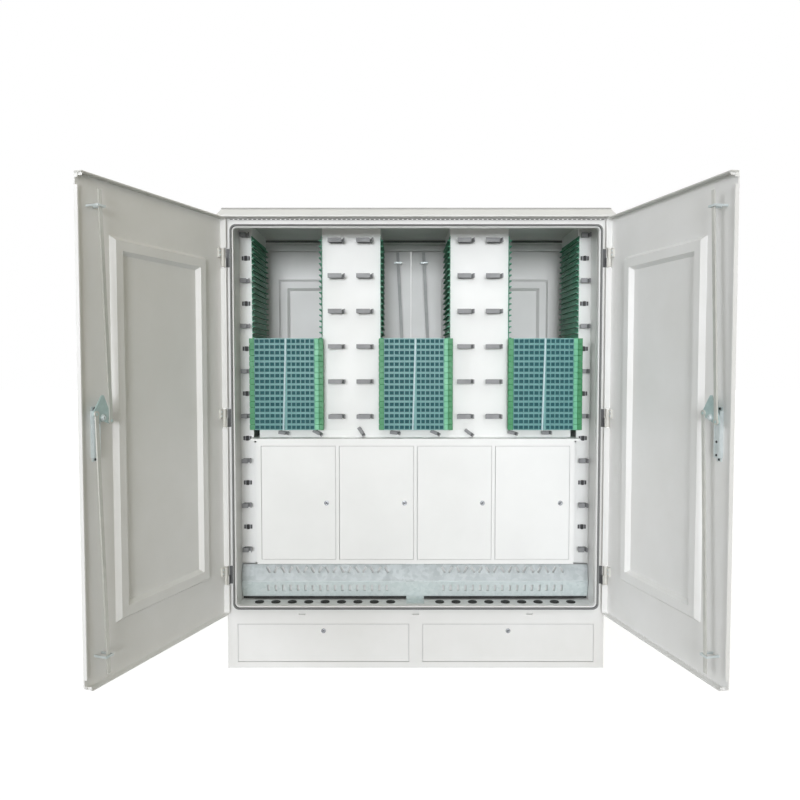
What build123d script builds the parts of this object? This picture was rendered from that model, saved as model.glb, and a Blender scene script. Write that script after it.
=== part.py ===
from build123d import *
import os
from math import atan2, cos, degrees, hypot, radians, sin

# Roadside fibre cross-connect cabinet. Millimetres, Z up, front towards -Y.
# The origin is on the ground, in the middle of the four anchor holes.

# Whole cabinet
cabinet_width = 1360.0
cabinet_depth = 540.0
plinth_height = 202.0
body_height = 1414.0
cut_overrun = 5.0
running_clearance = 0.05
face_clearance = 0.3

# Roof
roof_height = 32.0
roof_edge_height = 6.0
roof_side_overhang = 20.0
roof_front_overhang = 30.0
roof_top_inset = 18.0

# Plinth
plinth_wall = 30.0
plinth_flange_width = 70.0
plinth_flange_thickness = 12.0
anchor_hole_radius = 7.0
anchor_inset_x = 80.0
anchor_inset_y = 55.0
plinth_sill_height = 22.0
plinth_window_height = 140.0
plinth_post_width = 36.0
plinth_mullion_width = 48.0
plinth_rebate_depth = 15.0
plinth_rebate_lip = 6.0
drain_notch_width = 24.0
drain_notch_height = 6.0
drain_notch_depth = 10.0
drain_notch_pitch = 411.0

# Plinth panels and their locks
plinth_panel_gap = 3.0
plinth_panel_thickness = 12.0
plinth_pin_radius = 3.0
plinth_pin_length = 10.0
plinth_lock_drop = 25.0
plinth_lock_head_radius = 8.5
plinth_lock_barrel_radius = 6.5
plinth_tongue_length = 28.0
plinth_tongue_width = 12.0
plinth_tongue_gap = 1.0

# Quarter-turn locks, shared
lock_head_proud = 2.0
lock_tongue_thickness = 3.0

# Floor and cable entries
floor_thickness = 6.0
cable_entry_radius = 17.5
cable_entry_setback = 107.0
cable_entry_first = 92.0
cable_entry_pitch = 61.6
cable_entries_per_side = 9
plug_radius = 17.0
plug_height = 3.0

# Side panels
side_panel_thickness = 23.0
side_groove_width = 48.0
side_groove_depth = 5.0
side_groove_margin = 70.0
side_groove_count = 4

# Door frames
frame_depth = 60.0
frame_wall = 8.0
frame_lip = 8.0
opening_side_inset = 35.0
opening_bottom_inset = 29.0
opening_top_inset = 35.0
opening_corner_radius = 12.0
upstand_width = 13.0
upstand_height = 10.0
gasket_width = 5.0
gasket_inset = 5.0
gasket_to_door = 0.5

# Door leaves
leaf_gap = 2.0
leaf_seam = 10.0
leaf_end_gap = 2.0
leaf_side_overhang = 4.0
leaf_frame_gap = 2.0
leaf_depth = 25.0
leaf_skin = 4.0
leaf_free_depth = 12.0
leaf_corner_radius = 12.0
leaf_notch_gap = 3.0
band_from_hinge_edge = 107.0
band_from_free_edge = 127.0
band_from_ends = 150.0
band_width = 50.0
band_height = 15.0
band_slope = 11.0
front_left_open_angle = 109.8
front_right_open_angle = 103.1

# Door hinges
hinge_height = 64.0
hinge_end_inset = 139.0
hinge_setback = 12.0
hinge_knuckle_radius = 6.5
hinge_pin_radius = 4.0
hinge_pin_end_gap = 4.0
hinge_plate_thickness = 4.0
hinge_base_width = 12.0
hinge_base_gap = 1.0
hinge_arm_reach = 4.0
hinge_leaf_width = 20.0
hinge_leaf_thickness = 7.0
hinge_notch_gap = 3.0

# Rod locks
lock_backset = 54.0
lock_height = 752.0
lock_case_width = 26.0
lock_case_below = 112.0
lock_case_above = 18.0
lock_case_depth = 11.0
lock_boss_height = 28.0
lock_boss_radius = 12.0
spindle_radius = 8.0
spindle_square = 10.0
cam_gap = 0.5
cam_thickness = 4.0
cam_pin_offset = 30.0
cam_pin_radius = 4.0
cam_lobe_radius = 9.0
cam_crown_offset = 55.0
cam_crown_radius = 6.0
cam_rest_angle = -20.0
rod_width = 12.0
rod_thickness = 4.0
rod_tip_setback = 8.0
guide_end_inset = 84.0
guide_height = 6.0
guide_wall = 3.0
guide_side_room = 6.0
guide_top_room = 1.0

# Door handles
handle_hub_radius = 20.0
handle_hub_height = 10.0
handle_lever_length = 95.0
handle_lever_width = 22.0
handle_lever_thickness = 12.0

# Rack of side channels and dividers
rack_setback = 150.0
rack_depth = 280.0
rack_sheet = 3.0
side_strip_width = 49.0
column_opening = 260.0
ledge_rail_height = 30.0

# Tray rails and trays
trays_filled = 16
tray_pitch = 21.2
tray_foot_room = 31.0
tray_head_room = 35.0
rail_width = 10.0
rail_height = 4.0
rail_web_height = 19.0
rail_web = 1.4
rail_tip = 20.0
tray_side_gap = 2.0
tray_back_gap = 10.0
tray_body_gap = 4.2
tray_bar_gap = 1.2
tray_bar_overlap = 4.0
tray_bar_depth = 22.0
tray_bar_setback = 98.0
tray_left_ear = 18.0
tray_right_ear = 27.0
tray_label_width = 18.0
adapter_depth = 8.0
adapter_margin = 2.5

# Fibre guide rings
ring_wall = 4.0
ring_height = 16.0
ring_gap = 9.0
ring_back_share = 0.72
divider_ring_share = 0.294
divider_ring_offset_share = 0.241
divider_ring_depth = 45.0
divider_ring_first = 80.0
divider_ring_last = 58.0
divider_ring_rows = 6
side_ring_width = 36.0
side_ring_depth = 28.0
side_ring_first = 193.0
side_ring_last = 36.0
side_ring_rows = 8
ledge_ring_width = 40.0
ledge_ring_depth = 26.0
ledge_ring_height = 12.0
ledge_ring_lift = 18.0
ledge_ring_gap = 2.0
ledge_ring_shares = (-0.809, -0.600, -0.332, -0.123, 0.123, 0.332, 0.600, 0.809)
ledge_ring_turns = (8, 28, 58, 8, 24, 36, 14, 0)

# Splitter housing
housing_setback = 80.0
housing_side_gap = 71.0
housing_lift = 152.0
housing_height = 458.0
housing_sheet = 3.0
housing_face_depth = 16.0
housing_side_border = 16.0
housing_bottom_border = 16.0
housing_top_border = 18.0
housing_mullion = 12.0
housing_doors = 4
shelf_thickness = 8.0

# Splitter doors and their locks
splitter_door_gap = 2.5
splitter_door_depth = 12.0
splitter_door_skin = 2.0
splitter_pin_radius = 2.5
splitter_pin_inset = 4.0
splitter_pin_length = 8.0
splitter_lock_inset = 32.0
splitter_lock_boss_radius = 13.0
splitter_lock_head_radius = 9.0
splitter_lock_barrel_radius = 7.0
splitter_tongue_width = 12.0
splitter_tongue_gap = 0.6
splitter_tongue_play = 1.0

# Cable fixing plates
plate_setback = 142.0
plate_side_gap = 2.0
plate_middle_gap = 15.0
plate_lift = 11.0
plate_height = 137.0
plate_ridge_height = 72.0
plate_ridge = 12.0
plate_sheet = 2.5
plate_slot_width = 9.0
plate_slot_height = 24.0
plate_slot_pitch = 28.0
plate_slot_margin = 95.0
plate_slot_rise = 46.0
plate_slot_tilt = 30.0
strap_width = 67.0
strap_foot = 50.0

# Places worked out from the sizes above
half_width = cabinet_width / 2
half_depth = cabinet_depth / 2
front = -half_depth
body_bottom = plinth_height
body_top = plinth_height + body_height
floor_top = body_bottom + floor_thickness
inner_half = half_width - side_panel_thickness
panel_half_depth = half_depth - frame_depth

opening_half = half_width - opening_side_inset
opening_bottom = body_bottom + opening_bottom_inset
opening_top = body_top - opening_top_inset
opening_middle = (opening_bottom + opening_top) / 2

leaf_bottom = body_bottom + leaf_end_gap
leaf_top = body_top - leaf_end_gap
leaf_middle = (leaf_bottom + leaf_top) / 2
leaf_inner_rim = front - leaf_frame_gap
leaf_outside = leaf_inner_rim - leaf_depth
leaf_inside = leaf_outside + leaf_skin

hinge_x = half_width
hinge_y = leaf_inner_rim - hinge_setback
hinge_heights = (leaf_bottom + hinge_end_inset, leaf_middle, leaf_top - hinge_end_inset)

lock_z = body_bottom + lock_height
cam_face = leaf_inside + lock_boss_height + cam_gap
rod_face = cam_face + cam_thickness + cam_gap

rack_front = front + rack_setback
rack_back = rack_front + rack_depth
column_edge = inner_half - side_strip_width
column_pitch = column_edge - column_opening / 2
divider_inner = column_opening / 2
divider_outer = column_pitch - column_opening / 2
divider_width = divider_outer - divider_inner
ledge_face = rack_front - rack_sheet

housing_front = front + housing_setback
housing_half = inner_half - housing_side_gap
housing_bottom = floor_top + housing_lift
housing_top = housing_bottom + housing_height
shelf_top = housing_top + shelf_thickness
bays_width = 2 * (housing_half - housing_side_border)
bay_width = (bays_width - (housing_doors - 1) * housing_mullion) / housing_doors
bay_bottom = housing_bottom + housing_bottom_border
bay_top = housing_top - housing_top_border
bay_lip = (housing_mullion - housing_sheet) / 2

tray_bottom = shelf_top + tray_foot_room
tray_slots = int((body_top - tray_head_room - tray_bottom) / tray_pitch)
tray_front = front + tray_bar_setback

plate_leg = front + plate_setback
plate_crest = plate_leg - plate_ridge
plate_bottom = floor_top + plate_lift
plate_crest_z = floor_top + plate_ridge_height
plate_top = floor_top + plate_height

plinth_window_top = plinth_sill_height + plinth_window_height


# Basic shapes
def block(x0, x1, y0, y1, z0, z1):
    """Box between two opposite corners."""
    middle = Pos((x0 + x1) / 2, (y0 + y1) / 2, (z0 + z1) / 2)
    return middle * Box(abs(x1 - x0), abs(y1 - y0), abs(z1 - z0))


def upright(x, y, z):
    """Plane for outlines that stand upright and extrude towards +Y."""
    return Plane(origin=(x, y, z), x_dir=(1, 0, 0), z_dir=(0, 1, 0))


def bar_x(x0, x1, y, z, radius):
    """Round bar along X."""
    return Pos((x0 + x1) / 2, y, z) * Rot(0, 90, 0) * Cylinder(radius, abs(x1 - x0))


def bar_y(x, y0, y1, z, radius):
    """Round bar along Y."""
    return Pos(x, (y0 + y1) / 2, z) * Rot(90, 0, 0) * Cylinder(radius, abs(y1 - y0))


def bar_z(x, y, z0, z1, radius):
    """Round bar along Z."""
    return Pos(x, y, (z0 + z1) / 2) * Cylinder(radius, abs(z1 - z0))


def group(shapes):
    """Separate solids kept together under one name."""
    return Compound([solid for shape in shapes for solid in shape.solids()])


def turned_back(shape):
    """A front piece turned half round to the rear of the cabinet."""
    return Rot(0, 0, 180) * shape


# Plinth
def plinth_window(side):
    """Left and right edge of a plinth window."""
    return side * plinth_mullion_width / 2, side * (half_width - plinth_post_width)


def plinth_panel_axis():
    """Depth and height of the tilt axis of the plinth panels."""
    inset = plinth_panel_thickness / 2
    return front + inset, plinth_sill_height + plinth_panel_gap + inset


def plinth_frame():
    inner_x = half_width - plinth_wall
    inner_y = half_depth - plinth_wall
    clear_x = inner_x - plinth_flange_width
    clear_y = inner_y - plinth_flange_width
    base = block(-half_width, half_width, -half_depth, half_depth, 0, plinth_height)
    high = plinth_height + cut_overrun
    cuts = [block(-inner_x, inner_x, -inner_y, inner_y, plinth_flange_thickness, high),
            block(-clear_x, clear_x, -clear_y, clear_y, -cut_overrun, high)]
    axis_y, axis_z = plinth_panel_axis()
    for side in (-1, 1):
        near, far = plinth_window(side)
        rebate = front + plinth_rebate_depth
        cuts.append(block(near, far, front - cut_overrun, rebate, plinth_sill_height, plinth_window_top))
        cuts.append(block(near + side * plinth_rebate_lip, far - side * plinth_rebate_lip,
                          front, front + plinth_wall + cut_overrun,
                          plinth_sill_height + plinth_rebate_lip, plinth_window_top - plinth_rebate_lip))
        pin_room = plinth_pin_length + face_clearance
        cuts.append(bar_x(near - side * pin_room, far + side * pin_room, axis_y, axis_z,
                          plinth_pin_radius + running_clearance))
        for end in (-1, 1):
            cuts.append(bar_z(side * (half_width - anchor_inset_x), end * (half_depth - anchor_inset_y),
                              -cut_overrun, plinth_flange_thickness + cut_overrun, anchor_hole_radius))
    for step in (-1, 0, 1):
        middle = step * drain_notch_pitch
        cuts.append(block(middle - drain_notch_width / 2, middle + drain_notch_width / 2,
                          front - cut_overrun, front + drain_notch_depth,
                          plinth_height - drain_notch_height, plinth_height + cut_overrun))
    return base - cuts


def plinth_lock_place(side):
    """Middle of a plinth lock."""
    near, far = plinth_window(side)
    return (near + far) / 2, plinth_window_top - plinth_lock_drop


def plinth_panel(side):
    near, far = plinth_window(side)
    left, right = min(near, far), max(near, far)
    axis_y, axis_z = plinth_panel_axis()
    lock_at_x, lock_at_z = plinth_lock_place(side)
    panel = block(left + plinth_panel_gap, right - plinth_panel_gap, front, front + plinth_panel_thickness,
                  plinth_sill_height + plinth_panel_gap, plinth_window_top - plinth_panel_gap)
    panel += bar_x(left - plinth_pin_length, right + plinth_pin_length, axis_y, axis_z, plinth_pin_radius)
    return panel - bar_y(lock_at_x, front - cut_overrun, front + plinth_panel_thickness + cut_overrun,
                         lock_at_z, plinth_lock_barrel_radius + running_clearance)


def quarter_turn_lock(x, z, face, tongue_face, head_radius, barrel_radius):
    """Round lock head in front of a panel and its barrel, as far as the back of the tongue."""
    head = bar_y(x, face - lock_head_proud, face, z, head_radius)
    barrel = bar_y(x, face, tongue_face + lock_tongue_thickness, z, barrel_radius)
    return head + barrel


def plinth_lock(side):
    x, z = plinth_lock_place(side)
    tongue_face = front + plinth_wall + plinth_tongue_gap
    lock = quarter_turn_lock(x, z, front, tongue_face, plinth_lock_head_radius, plinth_lock_barrel_radius)
    return lock + block(x, x + plinth_tongue_length, tongue_face, tongue_face + lock_tongue_thickness,
                        z - plinth_tongue_width / 2, z + plinth_tongue_width / 2)


# Floor, side panels and roof
def cable_entry_places():
    """X of every cable entry."""
    steps = [cable_entry_first + step * cable_entry_pitch for step in range(cable_entries_per_side)]
    return [side * step for side in (-1, 1) for step in steps]


def floor_plate():
    floor = block(-inner_half, inner_half, -panel_half_depth, panel_half_depth, body_bottom, floor_top)
    entry_y = front + cable_entry_setback
    low, high = body_bottom - cut_overrun, floor_top + cut_overrun
    return floor - [bar_z(x, entry_y, low, high, cable_entry_radius) for x in cable_entry_places()]


def cable_plugs():
    entry_y = front + cable_entry_setback
    return group([bar_z(x, entry_y, floor_top, floor_top + plug_height, plug_radius)
                  for x in cable_entry_places()])


def side_panel(side):
    panel = block(side * inner_half, side * half_width, -panel_half_depth, panel_half_depth,
                  body_bottom, body_top)
    pitch = 2 * panel_half_depth / side_groove_count
    grooves = []
    for step in range(side_groove_count):
        middle = -panel_half_depth + (step + 1 / 2) * pitch
        grooves.append(block(side * (half_width - side_groove_depth), side * (half_width + cut_overrun),
                             middle - side_groove_width / 2, middle + side_groove_width / 2,
                             body_bottom + side_groove_margin, body_top - side_groove_margin))
    return panel - grooves


def roof_cap():
    eave_x = half_width + roof_side_overhang
    eave_y = half_depth + roof_front_overhang
    edge_top = body_top + roof_edge_height
    edge = block(-eave_x, eave_x, -eave_y, eave_y, body_top, edge_top)
    low = Plane.XY.offset(edge_top) * Rectangle(2 * eave_x, 2 * eave_y)
    high = Plane.XY.offset(body_top + roof_height) * Rectangle(2 * (eave_x - roof_top_inset),
                                                              2 * (eave_y - roof_top_inset))
    return edge + loft([low.face(), high.face()])


# Door frames, gaskets and the frame halves of the hinges
def opening_outline(grow):
    """Rounded outline of the door opening, grown outwards on every side."""
    return RectangleRounded(2 * (opening_half + grow), opening_top - opening_bottom + 2 * grow,
                            opening_corner_radius + grow)


def door_frame():
    back = front + frame_depth
    inner_x = half_width - frame_wall
    ring = block(-half_width, half_width, front, back, body_bottom, body_top)
    ring -= block(-inner_x, inner_x, front + frame_lip, back + cut_overrun,
                  body_bottom + frame_wall, body_top - frame_wall)
    ring += extrude(upright(0, front - upstand_height, opening_middle) * opening_outline(upstand_width),
                    upstand_height + frame_lip / 2)
    through = upstand_height + frame_lip + 2 * cut_overrun
    before = upright(0, front - upstand_height - cut_overrun, opening_middle)
    return ring - extrude(before * opening_outline(0), through)


def door_gasket():
    tall = front - upstand_height - leaf_inside - gasket_to_door
    outline = opening_outline(gasket_inset + gasket_width) - opening_outline(gasket_inset)
    return extrude(upright(0, front - upstand_height - tall, opening_middle) * outline, tall)


def frame_hinge(side, z):
    """Base plate on the frame, arm, lower knuckle and pin of one lift-off hinge."""
    base_near = opening_half + upstand_width + hinge_base_gap
    base_far = base_near + hinge_base_width
    low = z - hinge_height / 2
    high = z + hinge_height / 2
    knuckle_top = z - face_clearance
    base = block(side * base_near, side * base_far, front - hinge_plate_thickness, front, low, high)
    arm = block(side * (base_far - hinge_arm_reach), side * hinge_x, hinge_y, front, low, knuckle_top)
    knuckle = bar_z(side * hinge_x, hinge_y, low, knuckle_top, hinge_knuckle_radius)
    pin = bar_z(side * hinge_x, hinge_y, low, high - hinge_pin_end_gap, hinge_pin_radius)
    return base + arm + knuckle + pin


def frame_hinges():
    front_halves = [frame_hinge(side, z) for side in (-1, 1) for z in hinge_heights]
    return group(front_halves + [turned_back(half) for half in front_halves])


# Door leaf, closed at the front. Side -1 is hinged on the left, side 1 on the right.
def band_ring(x, y, z, width, height):
    """Raised rectangular band with sloped flanks, standing on the plane at depth y."""
    def tapered(base_width, base_height, spread):
        base = upright(x, y, z) * Rectangle(base_width, base_height)
        crest = upright(x, y + band_height, z) * Rectangle(base_width + spread, base_height + spread)
        return loft([base.face(), crest.face()])
    hole_width = width - 2 * band_width
    hole_height = height - 2 * band_width
    return tapered(width, height, -2 * band_slope) - tapered(hole_width, hole_height, 2 * band_slope)


def leaf_free_edge(side):
    """X of the leaf's edge at the seam, which lies off the middle."""
    return leaf_seam + side * leaf_gap / 2


def lock_place(side):
    """X of the lock's spindle."""
    return leaf_free_edge(side) + side * lock_backset


def door_leaf(side):
    hinge_edge = side * (half_width + leaf_side_overhang)
    free_edge = leaf_free_edge(side)
    width = abs(hinge_edge - free_edge)
    height = leaf_top - leaf_bottom
    middle = (hinge_edge + free_edge) / 2
    outline = RectangleRounded(width, height, leaf_corner_radius)
    hollow = RectangleRounded(width - 2 * leaf_skin, height - 2 * leaf_skin, leaf_corner_radius - leaf_skin)
    leaf = extrude(upright(middle, leaf_outside, leaf_middle) * outline, leaf_depth)
    leaf -= extrude(upright(middle, leaf_inside, leaf_middle) * hollow, leaf_depth)
    band_hinge_edge = hinge_edge - side * band_from_hinge_edge
    band_free_edge = free_edge + side * band_from_free_edge
    band_middle = (band_hinge_edge + band_free_edge) / 2
    band_size = (abs(band_hinge_edge - band_free_edge), height - 2 * band_from_ends)
    leaf += band_ring(band_middle, leaf_inside, leaf_middle, *band_size)
    leaf -= band_ring(band_middle, leaf_outside, leaf_middle, *band_size)
    hinge_notch = hinge_height / 2 + hinge_notch_gap
    seal_notch = upstand_width / 2 + leaf_notch_gap
    rim_end = leaf_inner_rim + cut_overrun
    cuts = [block(hinge_edge + side * cut_overrun, hinge_edge - side * leaf_skin, leaf_inside, rim_end,
                  z - hinge_notch, z + hinge_notch) for z in hinge_heights]
    for z in (opening_bottom - upstand_width / 2, opening_top + upstand_width / 2):
        cuts.append(block(free_edge - side * cut_overrun, free_edge + side * leaf_skin,
                          leaf_inside, rim_end, z - seal_notch, z + seal_notch))
    cuts.append(block(free_edge - side * cut_overrun, free_edge + side * leaf_skin,
                      leaf_outside + leaf_free_depth, rim_end,
                      leaf_bottom + leaf_skin, leaf_top - leaf_skin))
    cuts.append(bar_y(lock_place(side), leaf_outside - cut_overrun, leaf_inside + cut_overrun, lock_z,
                      spindle_radius + running_clearance))
    return leaf - cuts


def leaf_hinge(side, z):
    """Upper knuckle of a lift-off hinge and its plate on the inside of the leaf."""
    high = z + hinge_height / 2
    plate = block(side * (hinge_x - hinge_leaf_width), side * hinge_x, leaf_inside,
                  leaf_inside + hinge_leaf_thickness, z, high)
    knuckle = bar_z(side * hinge_x, hinge_y, z, high, hinge_knuckle_radius)
    bore = bar_z(side * hinge_x, hinge_y, z - cut_overrun, high + cut_overrun,
                 hinge_pin_radius + running_clearance)
    return plate + knuckle - bore


def leaf_hinges(side):
    return group([leaf_hinge(side, z) for z in hinge_heights])


# Rod lock of a leaf. Seen from inside the cabinet it has the same hand on every leaf.
def lock_case(side):
    x = lock_place(side)
    boss_top = leaf_inside + lock_boss_height
    case_half = lock_case_width / 2
    case = block(x - case_half, x + case_half, leaf_inside, leaf_inside + lock_case_depth,
                 lock_z - lock_case_below, lock_z + lock_case_above)
    case += bar_y(x, leaf_inside, boss_top, lock_z, lock_boss_radius)
    case -= bar_y(x, leaf_inside - cut_overrun, boss_top + cut_overrun, lock_z,
                  spindle_radius + running_clearance)
    room_half = rod_width / 2 + guide_side_room
    room_top = rod_face + rod_thickness + guide_top_room
    guides = []
    for z in (leaf_bottom + guide_end_inset, leaf_top - guide_end_inset):
        low, high = z - guide_height / 2, z + guide_height / 2
        arch = block(x - room_half - guide_wall, x + room_half + guide_wall, leaf_inside,
                     room_top + guide_wall, low, high)
        guides.append(arch - block(x - room_half, x + room_half, leaf_inside - cut_overrun, room_top,
                                   low - cut_overrun, high + cut_overrun))
    return group([case] + guides)


def cam_pin(side, upper):
    """X and Z of the upper or lower cam pin with the rods drawn in."""
    turn = radians(cam_rest_angle)
    hand = 1 if upper else -1
    return lock_place(side) - hand * cam_pin_offset * cos(turn), lock_z + hand * cam_pin_offset * sin(turn)


def lock_cam(side):
    x = lock_place(side)
    pins = [cam_pin(side, upper) for upper in (True, False)]
    outline = [Pos(pin_x - x, lock_z - pin_z) * Circle(cam_lobe_radius) for pin_x, pin_z in pins]
    outline.append(Pos(0, -cam_crown_offset) * Circle(cam_crown_radius))
    plate = make_hull([edge for lobe in outline for edge in lobe.edges()])
    cam = extrude(upright(x, cam_face, lock_z) * plate, cam_thickness)
    half = spindle_square / 2
    cam -= block(x - half, x + half, cam_face - cut_overrun, cam_face + cam_thickness + cut_overrun,
                 lock_z - half, lock_z + half)
    pin_top = rod_face + rod_thickness + guide_top_room
    for pin_x, pin_z in pins:
        cam += bar_y(pin_x, cam_face, pin_top, pin_z, cam_pin_radius)
    return cam


def door_handle(side):
    x = lock_place(side)
    face = leaf_outside - face_clearance
    outer = face - handle_hub_height
    half = spindle_square / 2
    handle = bar_y(x, outer, face, lock_z, handle_hub_radius)
    lever = upright(x, outer - handle_lever_thickness / 2, lock_z - handle_lever_length / 2)
    lever_outline = SlotOverall(handle_lever_length, handle_lever_width, rotation=90)
    handle += extrude(lever * lever_outline, handle_lever_thickness)
    handle += bar_y(x, face, cam_face - cam_gap, lock_z, spindle_radius)
    return handle + block(x - half, x + half, cam_face - cam_gap, cam_face + cam_thickness,
                          lock_z - half, lock_z + half)


def lock_rod(side, upper):
    """Flat rod from its cam pin through its guide to its tip inside the opening."""
    pin_x, pin_z = cam_pin(side, upper)
    guide_z = leaf_top - guide_end_inset if upper else leaf_bottom + guide_end_inset
    tip_z = opening_top - rod_tip_setback if upper else opening_bottom + rod_tip_setback
    lean = (lock_place(side) - pin_x) / (guide_z - pin_z)
    tip_x = pin_x + lean * (tip_z - pin_z)
    length = hypot(tip_x - pin_x, tip_z - pin_z)
    turn = degrees(atan2(tip_x - pin_x, tip_z - pin_z))
    bar = block(-rod_width / 2, rod_width / 2, rod_face, rod_face + rod_thickness, 0, length)
    bar += bar_y(0, rod_face, rod_face + rod_thickness, 0, cam_lobe_radius)
    bar -= bar_y(0, rod_face - cut_overrun, rod_face + rod_thickness + cut_overrun, 0,
                 cam_pin_radius + running_clearance)
    return Pos(pin_x, 0, pin_z) * Rot(0, turn, 0) * bar


def leaf_set(side):
    """All pieces of one closed front leaf, by name."""
    return {
        "door": door_leaf(side),
        "door_hinges": leaf_hinges(side),
        "lock_case": lock_case(side),
        "lock_cam": lock_cam(side),
        "handle": door_handle(side),
        "top_rod": lock_rod(side, True),
        "bottom_rod": lock_rod(side, False),
    }


def swung_open(shape, side, angle):
    """A closed front piece swung open about its hinge."""
    hinge = Pos(side * hinge_x, hinge_y, 0)
    return hinge * Rot(0, 0, side * angle) * hinge.inverse() * shape


# Rack
def side_channel(side):
    edge = side * column_edge
    wall = side * inner_half
    cheek = block(edge, edge + side * rack_sheet, rack_front, rack_back, floor_top, body_top)
    front_flange = block(edge, wall, rack_front, rack_front + rack_sheet, floor_top, body_top)
    back_flange = block(edge, wall, rack_back - rack_sheet, rack_back, floor_top, body_top)
    return cheek + front_flange + back_flange


def divider(side):
    near, far = side * divider_inner, side * divider_outer
    sheet = side * rack_sheet
    face = block(near, far, rack_front, rack_front + rack_sheet, shelf_top, body_top)
    near_cheek = block(near, near + sheet, rack_front, rack_back, shelf_top, body_top)
    far_cheek = block(far - sheet, far, rack_front, rack_back, shelf_top, body_top)
    return face + near_cheek + far_cheek


def ledge_rail():
    """Low rail along the front of the shelf, below the trays."""
    return block(-housing_half, housing_half, ledge_face, rack_front,
                 shelf_top, shelf_top + ledge_rail_height)


def rack_channels():
    sides = [shape(side) for shape in (side_channel, divider) for side in (-1, 1)]
    return group(sides + [ledge_rail()])


def column_places():
    """X of the middle of each tray column."""
    return (-column_pitch, 0, column_pitch)


def open_ring(width, depth, height):
    """Ring that widens from its back on the X axis towards -Y, with a gap to let fibres in at the right."""
    half = width / 2
    back = ring_back_share * half
    hook_end = half - ring_wall - ring_gap
    points = [(-back, 0), (back, 0), (half, -depth), (half - ring_wall, -depth),
              (back - ring_wall, -ring_wall), (ring_wall - back, -ring_wall),
              (ring_wall - half, ring_wall - depth), (hook_end, ring_wall - depth),
              (hook_end, -depth), (-half, -depth)]
    return extrude(make_face(Polyline(*points, close=True)), height / 2, both=True)


def ring_rows(first, last, rows):
    """Heights of evenly spaced rows of rings."""
    return [first + step * (last - first) / (rows - 1) for step in range(rows)]


def fibre_rings():
    rings = []
    divider_ring = open_ring(divider_ring_share * divider_width, divider_ring_depth, ring_height)
    side_ring = open_ring(side_ring_width, side_ring_depth, ring_height)
    ledge_ring = open_ring(ledge_ring_width, ledge_ring_depth, ledge_ring_height)
    divider_rows = ring_rows(shelf_top + divider_ring_first, body_top - divider_ring_last,
                             divider_ring_rows)
    side_rows = ring_rows(floor_top + side_ring_first, body_top - side_ring_last, side_ring_rows)
    offset = divider_ring_offset_share * divider_width
    for side in (-1, 1):
        divider_middle = side * (divider_inner + divider_outer) / 2
        side_middle = side * (column_edge + inner_half) / 2
        rings += [Pos(x, rack_front, z) * divider_ring
                  for z in divider_rows for x in (divider_middle - offset, divider_middle + offset)]
        rings += [Pos(side_middle, rack_front, z) * side_ring for z in side_rows]
    for share, turn in zip(ledge_ring_shares, ledge_ring_turns):
        angle = radians(turn)
        half_tall = (ledge_ring_width * sin(angle) + ledge_ring_height * cos(angle)) / 2
        z = shelf_top + max(ledge_ring_lift, ledge_ring_gap + half_tall)
        rings.append(Pos(share * column_edge, ledge_face, z) * Rot(0, turn, 0) * ledge_ring)
    return group(rings)


# Trays
def tray_rails():
    rails = []
    for middle in column_places():
        for side in (-1, 1):
            wall = middle + side * column_opening / 2
            for slot in range(tray_slots):
                z = tray_bottom + slot * tray_pitch
                foot = block(wall - side * rail_width, wall, rack_front - rail_tip, rack_back,
                             z, z + rail_height)
                rails.append(foot + block(wall - side * rail_web, wall, rack_front - rail_tip, rack_back,
                                          z, z + rail_web_height))
    return group(rails)


def tray_body(middle, slot):
    """Tray on its two rails with the cross bar that carries the adapters."""
    z = tray_bottom + slot * tray_pitch
    bar_back = tray_front + tray_bar_depth
    body_half = column_opening / 2 - tray_side_gap
    bar_half = column_opening / 2 + tray_bar_overlap
    body = block(middle - body_half, middle + body_half, bar_back, rack_back - tray_back_gap,
                 z + rail_height, z + tray_pitch - tray_body_gap)
    bar = block(middle - bar_half, middle + bar_half, tray_front, bar_back,
                z + tray_bar_gap / 2, z + tray_pitch - tray_bar_gap / 2)
    return body + bar


def tray_adapters(middle, slot):
    """Two rows of adapters on the cross bar, either side of the label strip."""
    z = tray_bottom + slot * tray_pitch
    bar_half = column_opening / 2 + tray_bar_overlap
    label_half = tray_label_width / 2
    spans = [(middle - bar_half + tray_left_ear, middle - label_half),
             (middle + label_half, middle + bar_half - tray_right_ear)]
    return [block(left, right, tray_front - adapter_depth, tray_front,
                  z + adapter_margin, z + tray_pitch - adapter_margin) for left, right in spans]


def fixed_slots():
    """Column middle and slot number of every tray that stays in."""
    return [(middle, slot) for middle in column_places() for slot in range(trays_filled - 1)]


def splice_trays():
    return group([tray_body(middle, slot) for middle, slot in fixed_slots()])


def fibre_adapters():
    return group([row for middle, slot in fixed_slots() for row in tray_adapters(middle, slot)])


def sliding_tray(middle):
    """Top filled tray of a column with its adapters."""
    slot = trays_filled - 1
    return group([tray_body(middle, slot)] + tray_adapters(middle, slot))


# Splitter housing
def bay_edges(bay):
    """Left and right edge of the opening of one splitter bay."""
    left = -housing_half + housing_side_border + bay * (bay_width + housing_mullion)
    return left, left + bay_width


def splitter_axis(bay):
    """X and Y of the pins of one splitter door."""
    left, _ = bay_edges(bay)
    return left + splitter_door_gap + splitter_pin_inset, housing_front + splitter_pin_inset


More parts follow.
